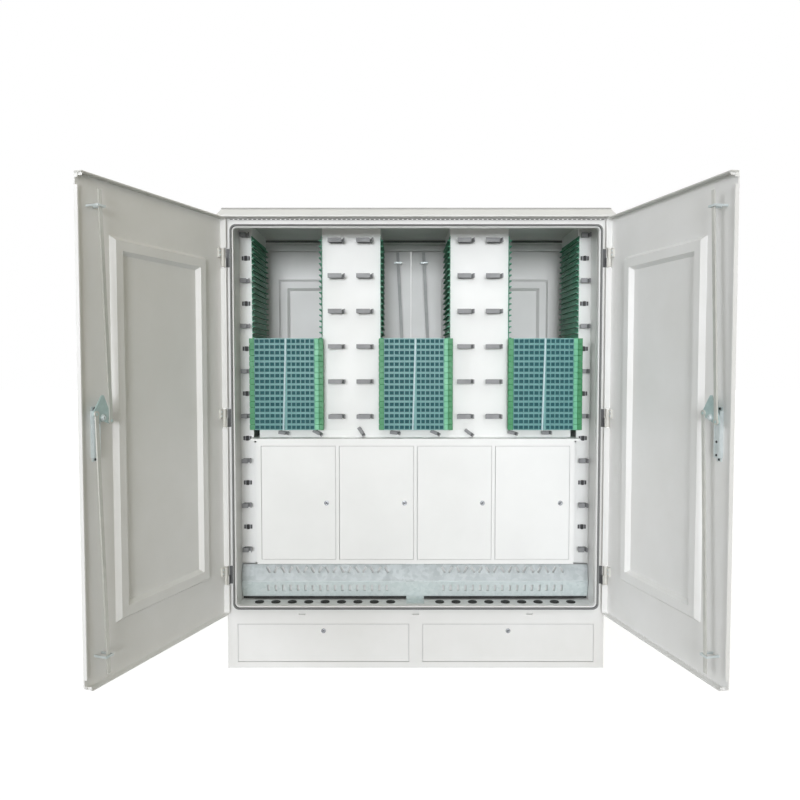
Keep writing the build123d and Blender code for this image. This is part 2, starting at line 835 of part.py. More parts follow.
def splitter_housing():
    face_back = housing_front + housing_face_depth
    housing = block(-housing_half, housing_half, housing_front, rack_back, housing_bottom, housing_top)
    housing += block(-column_edge, column_edge, housing_front, rack_back, housing_top, shelf_top)
    cuts = []
    for bay in range(housing_doors):
        left, right = bay_edges(bay)
        wall_left = -housing_half + housing_sheet if bay == 0 else left - bay_lip
        wall_right = housing_half - housing_sheet if bay == housing_doors - 1 else right + bay_lip
        cuts.append(block(left, right, housing_front - cut_overrun, face_back, bay_bottom, bay_top))
        cuts.append(block(wall_left, wall_right, face_back, rack_back - housing_sheet,
                          housing_bottom + housing_sheet, housing_top - housing_sheet))
        axis_x, axis_y = splitter_axis(bay)
        reach = splitter_pin_length + face_clearance
        cuts.append(bar_z(axis_x, axis_y, bay_bottom - reach, bay_top + reach,
                          splitter_pin_radius + running_clearance))
    return housing - cuts


def splitter_lock_place(bay):
    """X and Z of the lock of one splitter door."""
    _, right = bay_edges(bay)
    return right - splitter_door_gap - splitter_lock_inset, (bay_bottom + bay_top) / 2


def splitter_door(bay):
    left, right = bay_edges(bay)
    low, high = bay_bottom + splitter_door_gap, bay_top - splitter_door_gap
    near, far = left + splitter_door_gap, right - splitter_door_gap
    back = housing_front + splitter_door_depth
    axis_x, axis_y = splitter_axis(bay)
    lock_at_x, lock_at_z = splitter_lock_place(bay)
    post = 2 * splitter_pin_inset
    door = block(near, far, housing_front, back, low, high)
    door -= block(near + post, far - splitter_door_skin,
                  housing_front + splitter_door_skin, back + cut_overrun,
                  low + splitter_door_skin, high - splitter_door_skin)
    door += bar_z(axis_x, axis_y, bay_bottom - splitter_pin_length, bay_top + splitter_pin_length,
                  splitter_pin_radius)
    door += bar_y(lock_at_x, housing_front, back, lock_at_z, splitter_lock_boss_radius)
    return door - bar_y(lock_at_x, housing_front - cut_overrun, back + cut_overrun, lock_at_z,
                        splitter_lock_barrel_radius + running_clearance)


def splitter_lock(bay):
    x, z = splitter_lock_place(bay)
    tongue_face = housing_front + housing_face_depth + splitter_tongue_gap
    reach = splitter_lock_inset + splitter_door_gap + bay_lip - splitter_tongue_play
    lock = quarter_turn_lock(x, z, housing_front, tongue_face, splitter_lock_head_radius,
                             splitter_lock_barrel_radius)
    return lock + block(x - splitter_tongue_width / 2, x + splitter_tongue_width / 2, tongue_face,
                        tongue_face + lock_tongue_thickness, z, z + reach)


# Cable fixing plates
def bent_sheet(points, x0, x1):
    """Sheet with the given outline in depth and height, extruded along X."""
    side_view = Plane(origin=(x0, 0, 0), x_dir=(0, 1, 0), z_dir=(1, 0, 0))
    return extrude(side_view * make_face(Polyline(*points, close=True)), x1 - x0)


def cable_plate(side):
    near, far = side * plate_middle_gap / 2, side * (inner_half - plate_side_gap)
    points = [(rack_front, plate_bottom), (plate_leg, plate_bottom), (plate_crest, plate_crest_z),
              (plate_leg, plate_top), (plate_leg + plate_sheet, plate_top),
              (plate_crest + plate_sheet, plate_crest_z),
              (plate_leg + plate_sheet, plate_bottom + plate_sheet),
              (rack_front, plate_bottom + plate_sheet)]
    plate = bent_sheet(points, min(near, far), max(near, far))
    steps = int((abs(far - near) - 2 * plate_slot_margin) / plate_slot_pitch)
    first = (near + far - steps * plate_slot_pitch) / 2
    cuts = []
    slot = Box(plate_slot_width, plate_ridge + plate_sheet + 2 * cut_overrun, plate_slot_height)
    slot_y = (plate_crest + plate_leg + plate_sheet) / 2
    upper_z = plate_top - plate_slot_rise + plate_slot_height
    for row_z, tilt in ((floor_top + plate_slot_rise, 0), (upper_z, plate_slot_tilt)):
        for step in range(steps + 1):
            turn = tilt if step % 2 else -tilt
            cuts.append(Pos(first + step * plate_slot_pitch, slot_y, row_z) * Rot(0, turn, 0) * slot)
    return plate - cuts


def plate_strap():
    """Strap over the gap between the two plates, with its foot on the floor."""
    face, crest = plate_leg - plate_sheet, plate_crest - plate_sheet
    toe = face - strap_foot
    points = [(plate_leg, plate_top), (plate_crest, plate_crest_z), (plate_leg, plate_bottom),
              (plate_leg, floor_top), (toe, floor_top), (toe, floor_top + plate_sheet),
              (face, floor_top + plate_sheet), (face, plate_bottom), (crest, plate_crest_z),
              (face, plate_top)]
    return bent_sheet(points, -strap_width / 2, strap_width / 2)


def cable_plates():
    return group([cable_plate(-1), cable_plate(1), plate_strap()])


# All nodes by name
nodes = {
    "plinth_frame": plinth_frame(),
    "plinth_panel_left": plinth_panel(-1),
    "plinth_panel_right": plinth_panel(1),
    "plinth_lock_left": plinth_lock(-1),
    "plinth_lock_right": plinth_lock(1),
    "floor_plate": floor_plate(),
    "cable_plugs": cable_plugs(),
    "left_side_panel": side_panel(-1),
    "right_side_panel": side_panel(1),
    "roof_cap": roof_cap(),
    "front_frame": door_frame(),
    "rear_frame": turned_back(door_frame()),
    "door_gaskets": group([door_gasket(), turned_back(door_gasket())]),
    "frame_hinges": frame_hinges(),
    "rack_channels": rack_channels(),
    "fibre_rings": fibre_rings(),
    "tray_rails": tray_rails(),
    "splice_trays": splice_trays(),
    "fibre_adapters": fibre_adapters(),
    "splitter_housing": splitter_housing(),
    "cable_plates": cable_plates(),
}
for name, middle in zip(("left_tray", "centre_tray", "right_tray"), column_places()):
    nodes[name] = sliding_tray(middle)
for bay in range(housing_doors):
    nodes[f"splitter_door_{bay + 1}"] = splitter_door(bay)
    nodes[f"splitter_lock_{bay + 1}"] = splitter_lock(bay)

open_angles = {-1: front_left_open_angle, 1: front_right_open_angle}
front_names = {-1: "front_left", 1: "front_right"}
rear_names = {-1: "rear_right", 1: "rear_left"}
for side in (-1, 1):
    for piece, shape in leaf_set(side).items():
        nodes[f"{front_names[side]}_{piece}"] = swung_open(shape, side, open_angles[side])
        nodes[f"{rear_names[side]}_{piece}"] = turned_back(shape)

os.makedirs("parts", exist_ok=True)
for name, shape in nodes.items():
    export_step(shape, f"parts/{name}.step")
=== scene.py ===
"""Looks of a roadside fibre cross-connect cabinet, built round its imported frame."""

import logging
import math
from collections.abc import Iterable, Sequence
from dataclasses import dataclass, field
from enum import Enum

import bmesh
import bpy
from mathutils import Matrix, Vector


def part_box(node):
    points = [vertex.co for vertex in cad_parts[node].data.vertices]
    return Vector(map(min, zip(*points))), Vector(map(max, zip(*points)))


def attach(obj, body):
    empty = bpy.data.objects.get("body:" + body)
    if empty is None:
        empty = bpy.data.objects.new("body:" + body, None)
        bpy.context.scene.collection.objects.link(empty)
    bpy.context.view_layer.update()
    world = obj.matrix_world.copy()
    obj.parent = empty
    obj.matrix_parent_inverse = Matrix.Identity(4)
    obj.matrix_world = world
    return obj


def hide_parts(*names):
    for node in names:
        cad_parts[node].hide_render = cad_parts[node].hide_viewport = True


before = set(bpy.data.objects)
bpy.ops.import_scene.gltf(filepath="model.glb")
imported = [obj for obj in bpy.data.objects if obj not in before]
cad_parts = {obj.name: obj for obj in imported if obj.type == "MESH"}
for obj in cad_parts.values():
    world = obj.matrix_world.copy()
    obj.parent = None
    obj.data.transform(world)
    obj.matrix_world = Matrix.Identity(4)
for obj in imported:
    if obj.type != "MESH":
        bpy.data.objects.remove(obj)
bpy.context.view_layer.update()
LOG = logging.getLogger("cabinet")
MM = 0.001

Point = tuple[float, float, float]
Span = tuple[float, float]
Profile = tuple[tuple[float, float], ...]
Value = object

UPWARD: Point = (0.0, 0.0, 1.0)
FORWARD: Point = (0.0, -1.0, 0.0)
BACKWARD: Point = (0.0, 1.0, 0.0)
WHITE = (1.0, 1.0, 1.0, 1.0)
# Cosine above which a face counts as looking in a direction.
NEARLY_ALONG = 0.9
# Distance in metres at which the points of a turned shape merge.
WELD = 1e-6
# Inputs and output of a Mix node that mixes colours.
FACTOR, FIRST, SECOND, MIXED = 0, 6, 7, 2
# Numbers of the splitter doors.
BAYS = range(1, 5)


class Leaf(Enum):
    """The four door leaves.

    Each has its name, the side of its hinge in the closed front frame, how far it stands open and whether
    it is at the rear.
    """

    FRONT_LEFT = ("front_left", -1, 109.8, False)
    FRONT_RIGHT = ("front_right", 1, 103.1, False)
    REAR_RIGHT = ("rear_right", -1, 0.0, True)
    REAR_LEFT = ("rear_left", 1, 0.0, True)

    @property
    def title(self) -> str:
        """Name that begins the names of the leaf's nodes and bodies."""
        return self.value[0]

    @property
    def side(self) -> int:
        """-1 where the closed front leaf is hinged on the left, 1 on the right."""
        return self.value[1]

    def place(self, hinge_x: float, hinge_y: float) -> Matrix:
        """Works out where the leaf rests.

        Args:
            hinge_x: Distance of the hinge axis from the middle, in metres.
            hinge_y: Depth of the hinge axis at the front, in metres.

        Returns:
            Matrix from the closed front frame to the leaf's place at rest.
        """
        _, side, angle, rear = self.value
        if rear:
            return Matrix.Rotation(math.pi, 4, "Z")
        hinge = Matrix.Translation((side * hinge_x, hinge_y, 0.0))
        return hinge @ Matrix.Rotation(math.radians(side * angle), 4, "Z") @ hinge.inverted()


def linear(hex_colour: str) -> tuple[float, float, float, float]:
    """Turns an sRGB hex colour to linear.

    Args:
        hex_colour: Colour such as "#E6E4DD".

    Returns:
        Linear red, green and blue, and an alpha of 1.
    """
    # The numbers are those of the sRGB standard's curve.
    parts = [int(hex_colour[at:at + 2], 16) / 255 for at in (1, 3, 5)]
    red, green, blue = (p / 12.92 if p <= 0.04045 else ((p + 0.055) / 1.055) ** 2.4 for p in parts)
    return red, green, blue, 1.0


def add_node(tree: bpy.types.NodeTree, kind: str, settings: dict[str, Value] | None = None,
             inputs: dict[str | int, Value] | None = None) -> bpy.types.Node:
    """Adds one node, sets it up and fills its inputs.

    Args:
        tree: Node tree that gets the node.
        kind: Type of the node.
        settings: Properties of the node by name.
        inputs: Input sockets by name or number, each a fixed value or an output to link.

    Returns:
        The new node.
    """
    node = tree.nodes.new(kind)
    for key, value in (settings or {}).items():
        setattr(node, key, value)
    for key, value in (inputs or {}).items():
        if isinstance(value, bpy.types.NodeSocket):
            tree.links.new(value, node.inputs[key])
        else:
            node.inputs[key].default_value = value
    return node


@dataclass(frozen=True)
class Finish:
    """Surface of one real material: two shades in soft patches, gloss, and the relief that its making leaves."""

    name: str
    shade: str
    patch: str
    patch_mm: float
    roughness: Span
    relief_mm: float
    relief_depth_mm: float
    metallic: float = 0.0
    patch_detail: float = 3.0
    patch_grain: float = 0.55
    patch_range: Span = (0.3, 0.7)
    relief_detail: float = 2.0
    relief_strength: float = 0.6

    def pattern(self, tree: bpy.types.NodeTree, place: bpy.types.NodeSocket) -> bpy.types.NodeSocket:
        """Adds the pattern that mixes the two shades.

        Args:
            tree: Node tree of the material.
            place: Object coordinates.

        Returns:
            Factor from 0 to 1.
        """
        noise = add_node(tree, "ShaderNodeTexNoise", None,
                         {"Vector": place, "Scale": 1 / (self.patch_mm * MM), "Detail": self.patch_detail,
                          "Roughness": self.patch_grain})
        low, high = self.patch_range
        spread = add_node(tree, "ShaderNodeMapRange", None,
                          {"Value": noise.outputs[0], "From Min": low, "From Max": high})
        return spread.outputs[0]

    def colour(self, tree: bpy.types.NodeTree, place: bpy.types.NodeSocket,
               factor: bpy.types.NodeSocket) -> bpy.types.NodeSocket:
        """Adds the colour of the surface.

        Args:
            tree: Node tree of the material.
            place: Object coordinates.
            factor: Pattern from 0 to 1.

        Returns:
            Colour output.
        """
        mix = add_node(tree, "ShaderNodeMix", {"data_type": "RGBA"},
                       {FACTOR: factor, FIRST: linear(self.shade), SECOND: linear(self.patch)})
        return mix.outputs[MIXED]

    def relief(self, tree: bpy.types.NodeTree, place: bpy.types.NodeSocket) -> bpy.types.NodeSocket:
        """Adds the fine relief of the surface.

        Args:
            tree: Node tree of the material.
            place: Object coordinates.

        Returns:
            Normal output.
        """
        noise = add_node(tree, "ShaderNodeTexNoise", None,
                         {"Vector": place, "Scale": 1 / (self.relief_mm * MM), "Detail": self.relief_detail})
        bump = add_node(tree, "ShaderNodeBump", None,
                        {"Strength": self.relief_strength, "Distance": self.relief_depth_mm * MM,
                         "Height": noise.outputs[0]})
        return bump.outputs[0]

    def build(self) -> bpy.types.Material:
        """Makes the material.

        Returns:
            The material.
        """
        material = bpy.data.materials.new(self.name)
        material.use_nodes = True
        tree = material.node_tree
        shader = tree.nodes["Principled BSDF"]
        place = add_node(tree, "ShaderNodeTexCoord").outputs["Object"]
        factor = self.pattern(tree, place)
        smooth, rough = self.roughness
        gloss = add_node(tree, "ShaderNodeMapRange", None,
                         {"Value": factor, "To Min": smooth, "To Max": rough})
        tree.links.new(self.colour(tree, place, factor), shader.inputs["Base Color"])
        tree.links.new(gloss.outputs[0], shader.inputs["Roughness"])
        tree.links.new(self.relief(tree, place), shader.inputs["Normal"])
        shader.inputs["Metallic"].default_value = self.metallic
        material.diffuse_color = linear(self.shade)
        return material


@dataclass(frozen=True)
class Spangle(Finish):
    """Hot-dip zinc, whose crystals each take their own shade."""

    def pattern(self, tree: bpy.types.NodeTree, place: bpy.types.NodeSocket) -> bpy.types.NodeSocket:
        """Adds crystals of even shade.

        Args:
            tree: Node tree of the material.
            place: Object coordinates.

        Returns:
            Factor from 0 to 1.
        """
        cells = add_node(tree, "ShaderNodeTexVoronoi", None,
                         {"Vector": place, "Scale": 1 / (self.patch_mm * MM)})
        shades = add_node(tree, "ShaderNodeSeparateColor", None, {"Color": cells.outputs["Color"]})
        return shades.outputs[0]


@dataclass(frozen=True)
class PaintedReflectionSpangle(Spangle):
    """Hot-dip zinc that is brighter below a height, where the brighter zinc is a painted reflection of the floor.
    """

    parting_mm: float = 280.0
    below: str = "#D6DFDF"
    below_patch: str = "#CAD5D5"

    def colour(self, tree: bpy.types.NodeTree, place: bpy.types.NodeSocket,
               factor: bpy.types.NodeSocket) -> bpy.types.NodeSocket:
        """Adds the crystals' shades above the parting and, below it, brighter zinc that is a painted reflection.

        Args:
            tree: Node tree of the material.
            place: Object coordinates.
            factor: Pattern from 0 to 1.

        Returns:
            Colour output.
        """
        above = super().colour(tree, place, factor)
        # Painted reflection: brighter zinc below the parting.
        painted_reflection = add_node(tree, "ShaderNodeMix", {"data_type": "RGBA"},
                         {FACTOR: factor, FIRST: linear(self.below), SECOND: linear(self.below_patch)})
        axes = add_node(tree, "ShaderNodeSeparateXYZ", None, {0: place})
        under = add_node(tree, "ShaderNodeMath", {"operation": "LESS_THAN"},
                         {0: axes.outputs["Z"], 1: self.parting_mm * MM})
        mix = add_node(tree, "ShaderNodeMix", {"data_type": "RGBA"},
                       {FACTOR: under.outputs[0], FIRST: above, SECOND: painted_reflection.outputs[MIXED]})
        return mix.outputs[MIXED]


@dataclass(frozen=True)
class TwoTone(Finish):
    """Finish that changes its shades at a distance from the cabinet's middle."""

    parting_mm: float = 671.0
    outer: str = "#D5D4CE"
    outer_patch: str = "#CDCCC6"

    def colour(self, tree: bpy.types.NodeTree, place: bpy.types.NodeSocket,
               factor: bpy.types.NodeSocket) -> bpy.types.NodeSocket:
        """Adds the two colours, one each side of the parting.

        Args:
            tree: Node tree of the material.
            place: Object coordinates.
            factor: Pattern from 0 to 1.

        Returns:
            Colour output.
        """
        inner = super().colour(tree, place, factor)
        outer = add_node(tree, "ShaderNodeMix", {"data_type": "RGBA"},
                         {FACTOR: factor, FIRST: linear(self.outer), SECOND: linear(self.outer_patch)})
        axes = add_node(tree, "ShaderNodeSeparateXYZ", None, {0: place})
        away = add_node(tree, "ShaderNodeMath", {"operation": "ABSOLUTE"}, {0: axes.outputs["X"]})
        past = add_node(tree, "ShaderNodeMath", {"operation": "GREATER_THAN"},
                        {0: away.outputs[0], 1: self.parting_mm * MM})
        mix = add_node(tree, "ShaderNodeMix", {"data_type": "RGBA"},
                       {FACTOR: past.outputs[0], FIRST: inner, SECOND: outer.outputs[MIXED]})
        return mix.outputs[MIXED]


class Finishes:
    """All finishes of the cabinet."""

    # Compression-moulded glass-fibre polyester: off-white, satin, faintly clouded, with the flow of the mould.
    POLYESTER = Finish("moulded_polyester", "#E9E9E8", "#E4E4E2", 180.0, (0.42, 0.52), 14.0, 0.25)
    # The roof's polyester is a shade greyer.
    ROOF = Finish("roof_polyester", "#D9D9D6", "#D3D3D0", 180.0, (0.42, 0.52), 14.0, 0.25)
    # Grey strips in the seams of doors and panels, painted shade: their grey stands for the soft shade line of
    # each seam.
    STRIP = Finish("seam_strip", "#DADADA", "#D1D2D2", 30.0, (0.55, 0.68), 5.0, 0.05)
    # Powder coat on folded sheet: a cleaner white, with fine orange peel drawn coarse enough to show.
    POWDER = Finish("powder_coated_sheet", "#EFF0EF", "#EAEBEA", 220.0, (0.36, 0.44), 9.0, 0.12)
    # EPDM door seal: mid grey, matt, dusty.
    SEAL = Finish("epdm_seal", "#757676", "#808181", 40.0, (0.72, 0.86), 3.0, 0.10)
    # Black rubber of the cable caps.
    CAP_RUBBER = Finish("moulded_rubber", "#262827", "#323433", 25.0, (0.55, 0.70), 4.0, 0.15)
    # Zinc-plated steel with blue passivation: cool grey with a greenish cast, slightly blotched.
    ZINC = Finish("blue_zinc_plate", "#D3DADB", "#C3CDCE", 22.0, (0.30, 0.46), 5.0, 0.05, metallic=0.25)
    # Rods in bright drawn steel, satin, nearly white in soft light.
    ROD = Finish("bright_drawn_steel", "#CFCFC9", "#C4C5C0", 30.0, (0.34, 0.46), 6.0, 0.04, metallic=0.3)
    # The rods of the rear leaves are rougher, and a darker grey that is painted shade on these backlit rods.
    DULL_SHADED_ROD = Finish("dull_rod_painted_shade", "#BDBEBE", "#B1B2B3", 30.0, (0.60, 0.72), 6.0, 0.04)
    # The cam wears the same zinc, thicker and greener.
    CAM_ZINC = Finish("green_zinc_plate", "#BCCFCE", "#A9BFBF", 18.0, (0.28, 0.42), 5.0, 0.05, metallic=0.25)
    # Screw heads, oiled dark.
    DARK_STEEL = Finish("oiled_steel", "#4C4E50", "#3E4042", 8.0, (0.38, 0.55), 3.0, 0.04, metallic=1.0)
    # Frame half of the hinges: a bright knuckle, and a near-black inner part that is painted shade of the notch in
    # the frame.
    HINGE = TwoTone("hinge_plate", "#454647", "#4F5051", 20.0, (0.45, 0.60), 6.0, 0.05)
    # Door half of the hinges: light paint over the steel, a little greyer than the shell.
    HINGE_PAINT = Finish("painted_steel", "#D5D4CE", "#CBCAC4", 24.0, (0.38, 0.50), 6.0, 0.06)
    # Painted capping on the top edge of the leaves, a shade under the shell.
    CAPPING = Finish("painted_aluminium", "#CFCFCB", "#C7C7C3", 60.0, (0.45, 0.58), 8.0, 0.04)
    # Grey edge strip round the roof's top, a darker line along that edge.
    ROOF_EDGE = Finish("roof_edge_grey", "#A5A5A1", "#9B9B98", 60.0, (0.45, 0.58), 8.0, 0.04)
    # Cast handle in black epoxy.
    HANDLE = Finish("epoxy_on_alloy", "#2B2C2E", "#353638", 30.0, (0.38, 0.50), 5.0, 0.10)
    # Trays in moulded ABS, mid green.
    TRAY = Finish("green_abs", "#2C8B56", "#27814E", 60.0, (0.38, 0.48), 6.0, 0.06)
    # Lighter ABS on the inner part of the tray ears.
    EAR = Finish("light_green_abs", "#6ABB92", "#60B088", 40.0, (0.36, 0.46), 6.0, 0.06)
    # Darker ABS on the outer part of the ears.
    EAR_EDGE = Finish("deep_green_abs", "#27854F", "#227B48", 40.0, (0.38, 0.48), 6.0, 0.06)
    # Rails in the same green, darker, since they lie in the bays.
    RAIL = Finish("rail_abs", "#4A9577", "#428A6D", 50.0, (0.45, 0.58), 6.0, 0.08)
    # Fibre adapters in teal polycarbonate.
    ADAPTER = Finish("teal_polycarbonate", "#68A7A8", "#5F9EA0", 30.0, (0.28, 0.38), 6.0, 0.03)
    # Pale teal bar that the adapters sit in.
    BAR = Finish("pale_teal_abs", "#85BAB7", "#7CB1AF", 40.0, (0.40, 0.50), 6.0, 0.05)
    # Ports of the adapters, in dark teal that is painted shade inside the openings.
    PORT = Finish("port_painted_shade", "#1C5A5F", "#185156", 12.0, (0.70, 0.80), 4.0, 0.04)
    # Paper label strips behind clear film.
    LABEL = Finish("label_strip", "#C9DEE2", "#BFD6DB", 30.0, (0.30, 0.40), 8.0, 0.03)
    # Fibre rings in grey nylon.
    RING = Finish("grey_nylon", "#8F9092", "#858688", 25.0, (0.45, 0.58), 4.0, 0.08)
    # Black nylon clips.
    CLIP = Finish("black_nylon", "#2A2A2B", "#333334", 10.0, (0.50, 0.62), 3.0, 0.05)
    # Hot-dip galvanised plates: grey crystals, painted brighter below the crest as a painted reflection of the
    # floor.
    GALVANISED = PaintedReflectionSpangle("galvanised_sheet", "#BAC0C1", "#AFB6B7", 11.0, (0.50, 0.64), 30.0, 0.12,
                              metallic=0.2)
    # Nickel-plated lock heads.
    NICKEL = Finish("nickel_plate", "#9B9DA0", "#8C8F92", 10.0, (0.22, 0.34), 4.0, 0.03, metallic=1.0)
    # Grey backing behind the vents, painted shade: its grey stands for the shade inside the slots.
    VENT = Finish("vent_slot_shade", "#8A8A88", "#7E7E7C", 12.0, (0.65, 0.78), 4.0, 0.06)
    # Dark inside of key holes.
    SHADE = Finish("dark_hollow", "#2A2A2A", "#303030", 15.0, (0.80, 0.90), 5.0, 0.05)


class MaterialShelf:
    """Makes each material once and hands it out."""

    def __init__(self) -> None:
        """Starts with no material made."""
        self._made: dict[str, bpy.types.Material] = {}

    def get(self, finish: Finish) -> bpy.types.Material:
        """Gives the material of a finish, made on first use.

        Args:
            finish: The finish.

        Returns:
            Its material.
        """
        if finish.name not in self._made:
            self._made[finish.name] = finish.build()
        return self._made[finish.name]


class Workshop:
    """Turns bmeshes into pieces and dresses the frame's nodes."""

    def __init__(self) -> None:
        """Starts with an empty material shelf."""
        self.shelf = MaterialShelf()

    def piece(self, name: str, form: bmesh.types.BMesh, finishes: Sequence[Finish], body: str, slot: str,
              replaced: Sequence[str] = ()) -> None:
        """Makes a piece that rides on a body.

        Args:
            name: Name of the piece.
            form: Its bmesh, in place in metres, which is freed.
            finishes: Finishes by material index.
            body: Body that it rides on.
            slot: Material slot of the record; not used.
            replaced: Nodes that it stands for.
        """
        mesh = bpy.data.meshes.new(name)
        form.to_mesh(mesh)
        form.free()
        for finish in finishes:
            mesh.materials.append(self.shelf.get(finish))
        made = bpy.data.objects.new(name, mesh)
        bpy.context.scene.collection.objects.link(made)
        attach(made, body)
        if replaced:
            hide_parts(*replaced)
        LOG.info("piece %s rides on %s, %d faces", name, body, len(mesh.polygons))

    def dress(self, node: str, finish: Finish) -> None:
        """Gives a frame node its material.

        Args:
            node: Name of the node.
            finish: Its finish.
        """
        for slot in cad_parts[node].material_slots:
            slot.material = self.shelf.get(finish)
        LOG.info("node %s dressed in %s", node, finish.name)


def add_block(form: bmesh.types.BMesh, low: Point, high: Point, index: int = 0,
              bevel: float = 0.0) -> list[bmesh.types.BMFace]:
    """Adds a box with softened edges.

    Args:
        form: Bmesh that gets it.
        low: Lowest corner in millimetres.
        high: Highest corner in millimetres.
        index: Material index.
        bevel: Width of the softened edges in millimetres, or 0 for sharp ones.

    Returns:
        Its faces.
    """
    start, end = Vector(low) * MM, Vector(high) * MM
    place = Matrix.Translation((start + end) / 2) @ Matrix.Diagonal((*(end - start), 1.0))
    before = set(form.faces)
    verts = bmesh.ops.create_cube(form, size=1.0, matrix=place)["verts"]
    if bevel:
        edges = list({edge for vert in verts for edge in vert.link_edges})
        bmesh.ops.bevel(form, geom=edges, offset=bevel * MM, affect="EDGES", segments=1, profile=0.5,
                        material=-1)
    faces = [face for face in form.faces if face not in before]
    for face in faces:
        face.material_index = index
    return faces


def facing(faces: Iterable[bmesh.types.BMFace], direction: Point) -> bmesh.types.BMFace:
    """Picks the largest face that looks in a direction.

    Args:
        faces: Faces to choose from.
        direction: Unit vector.

    Returns:
        The face.
    """
    for face in faces:
        face.normal_update()
    aim = Vector(direction)
    found = [face for face in faces if face.normal.dot(aim) > NEARLY_ALONG]
    return max(found, key=lambda face: face.calc_area())


def sink(form: bmesh.types.BMesh, face: bmesh.types.BMFace, depth: float, slope: float, rim: float = 0.0) -> None:
    """Sinks a face below the surface round it.

    Args:
        form: Bmesh of the face.
        face: Face to sink.
        depth: How far it goes down, in millimetres.
        slope: Width of the sloping wall round it, in millimetres.
        rim: Width of the level rim outside the wall, in millimetres.
    """
    if rim:
        bmesh.ops.inset_individual(form, faces=[face], thickness=rim * MM)
    bmesh.ops.inset_individual(form, faces=[face], thickness=slope * MM, depth=-depth * MM)


def mirrored(near: float, far: float) -> tuple[Span, Span]:
    """Gives a span on the negative side of the middle and its image on the positive side."""
    return (-far, -near), (near, far)


def add_lathe(form: bmesh.types.BMesh, profile: Sequence[tuple[float, float]], steps: int,
              place: Matrix, index: int = 0) -> None:
    """Adds a turned shape.

    Args:
        form: Bmesh that gets it.
        profile: Radius and height along the axis, in millimetres, from the middle outwards.
        steps: Number of flats round the axis.
        place: Matrix from the lathe frame, with its axis along Z, to the piece's place.
        index: Material index.
    """
    turned = bmesh.new()
    verts = [turned.verts.new((radius * MM, 0.0, height * MM)) for radius, height in profile]
    edges = [turned.edges.new(pair) for pair in zip(verts, verts[1:])]
    bmesh.ops.spin(turned, geom=verts + edges, axis=UPWARD, cent=(0, 0, 0), angle=2 * math.pi, steps=steps,
                   use_merge=True, use_duplicate=False)
    bmesh.ops.remove_doubles(turned, verts=turned.verts, dist=WELD)
    bmesh.ops.recalc_face_normals(turned, faces=turned.faces)
    for face in turned.faces:
        face.material_index = index
        face.smooth = True
    bmesh.ops.transform(turned, matrix=place, verts=turned.verts)
    add_copy(form, turned, Matrix.Identity(4))
    turned.free()


def add_copy(form: bmesh.types.BMesh, master: bmesh.types.BMesh, place: Matrix) -> None:
    """Adds a copy of a finished shape.

    Args:
        form: Bmesh that gets it.
        master: Shape to copy.
        place: Matrix that puts the copy in place.
    """
    mesh = bpy.data.meshes.new("master")
    master.to_mesh(mesh)
    mesh.transform(place)
    form.from_mesh(mesh)
    bpy.data.meshes.remove(mesh)


class Aim(Enum):
    """Turns that point a lathe's axis."""

    FRONT = Matrix.Rotation(math.radians(90), 4, "X")
    REAR = Matrix.Rotation(math.radians(-90), 4, "X")
    UP = Matrix.Identity(4)


def lathe_place(x: float, y: float, z: float, aim: Aim) -> Matrix:
    """Gives the place of a turned shape, with its foot at a point in millimetres."""
    return Matrix.Translation(Vector((x, y, z)) * MM) @ aim.value


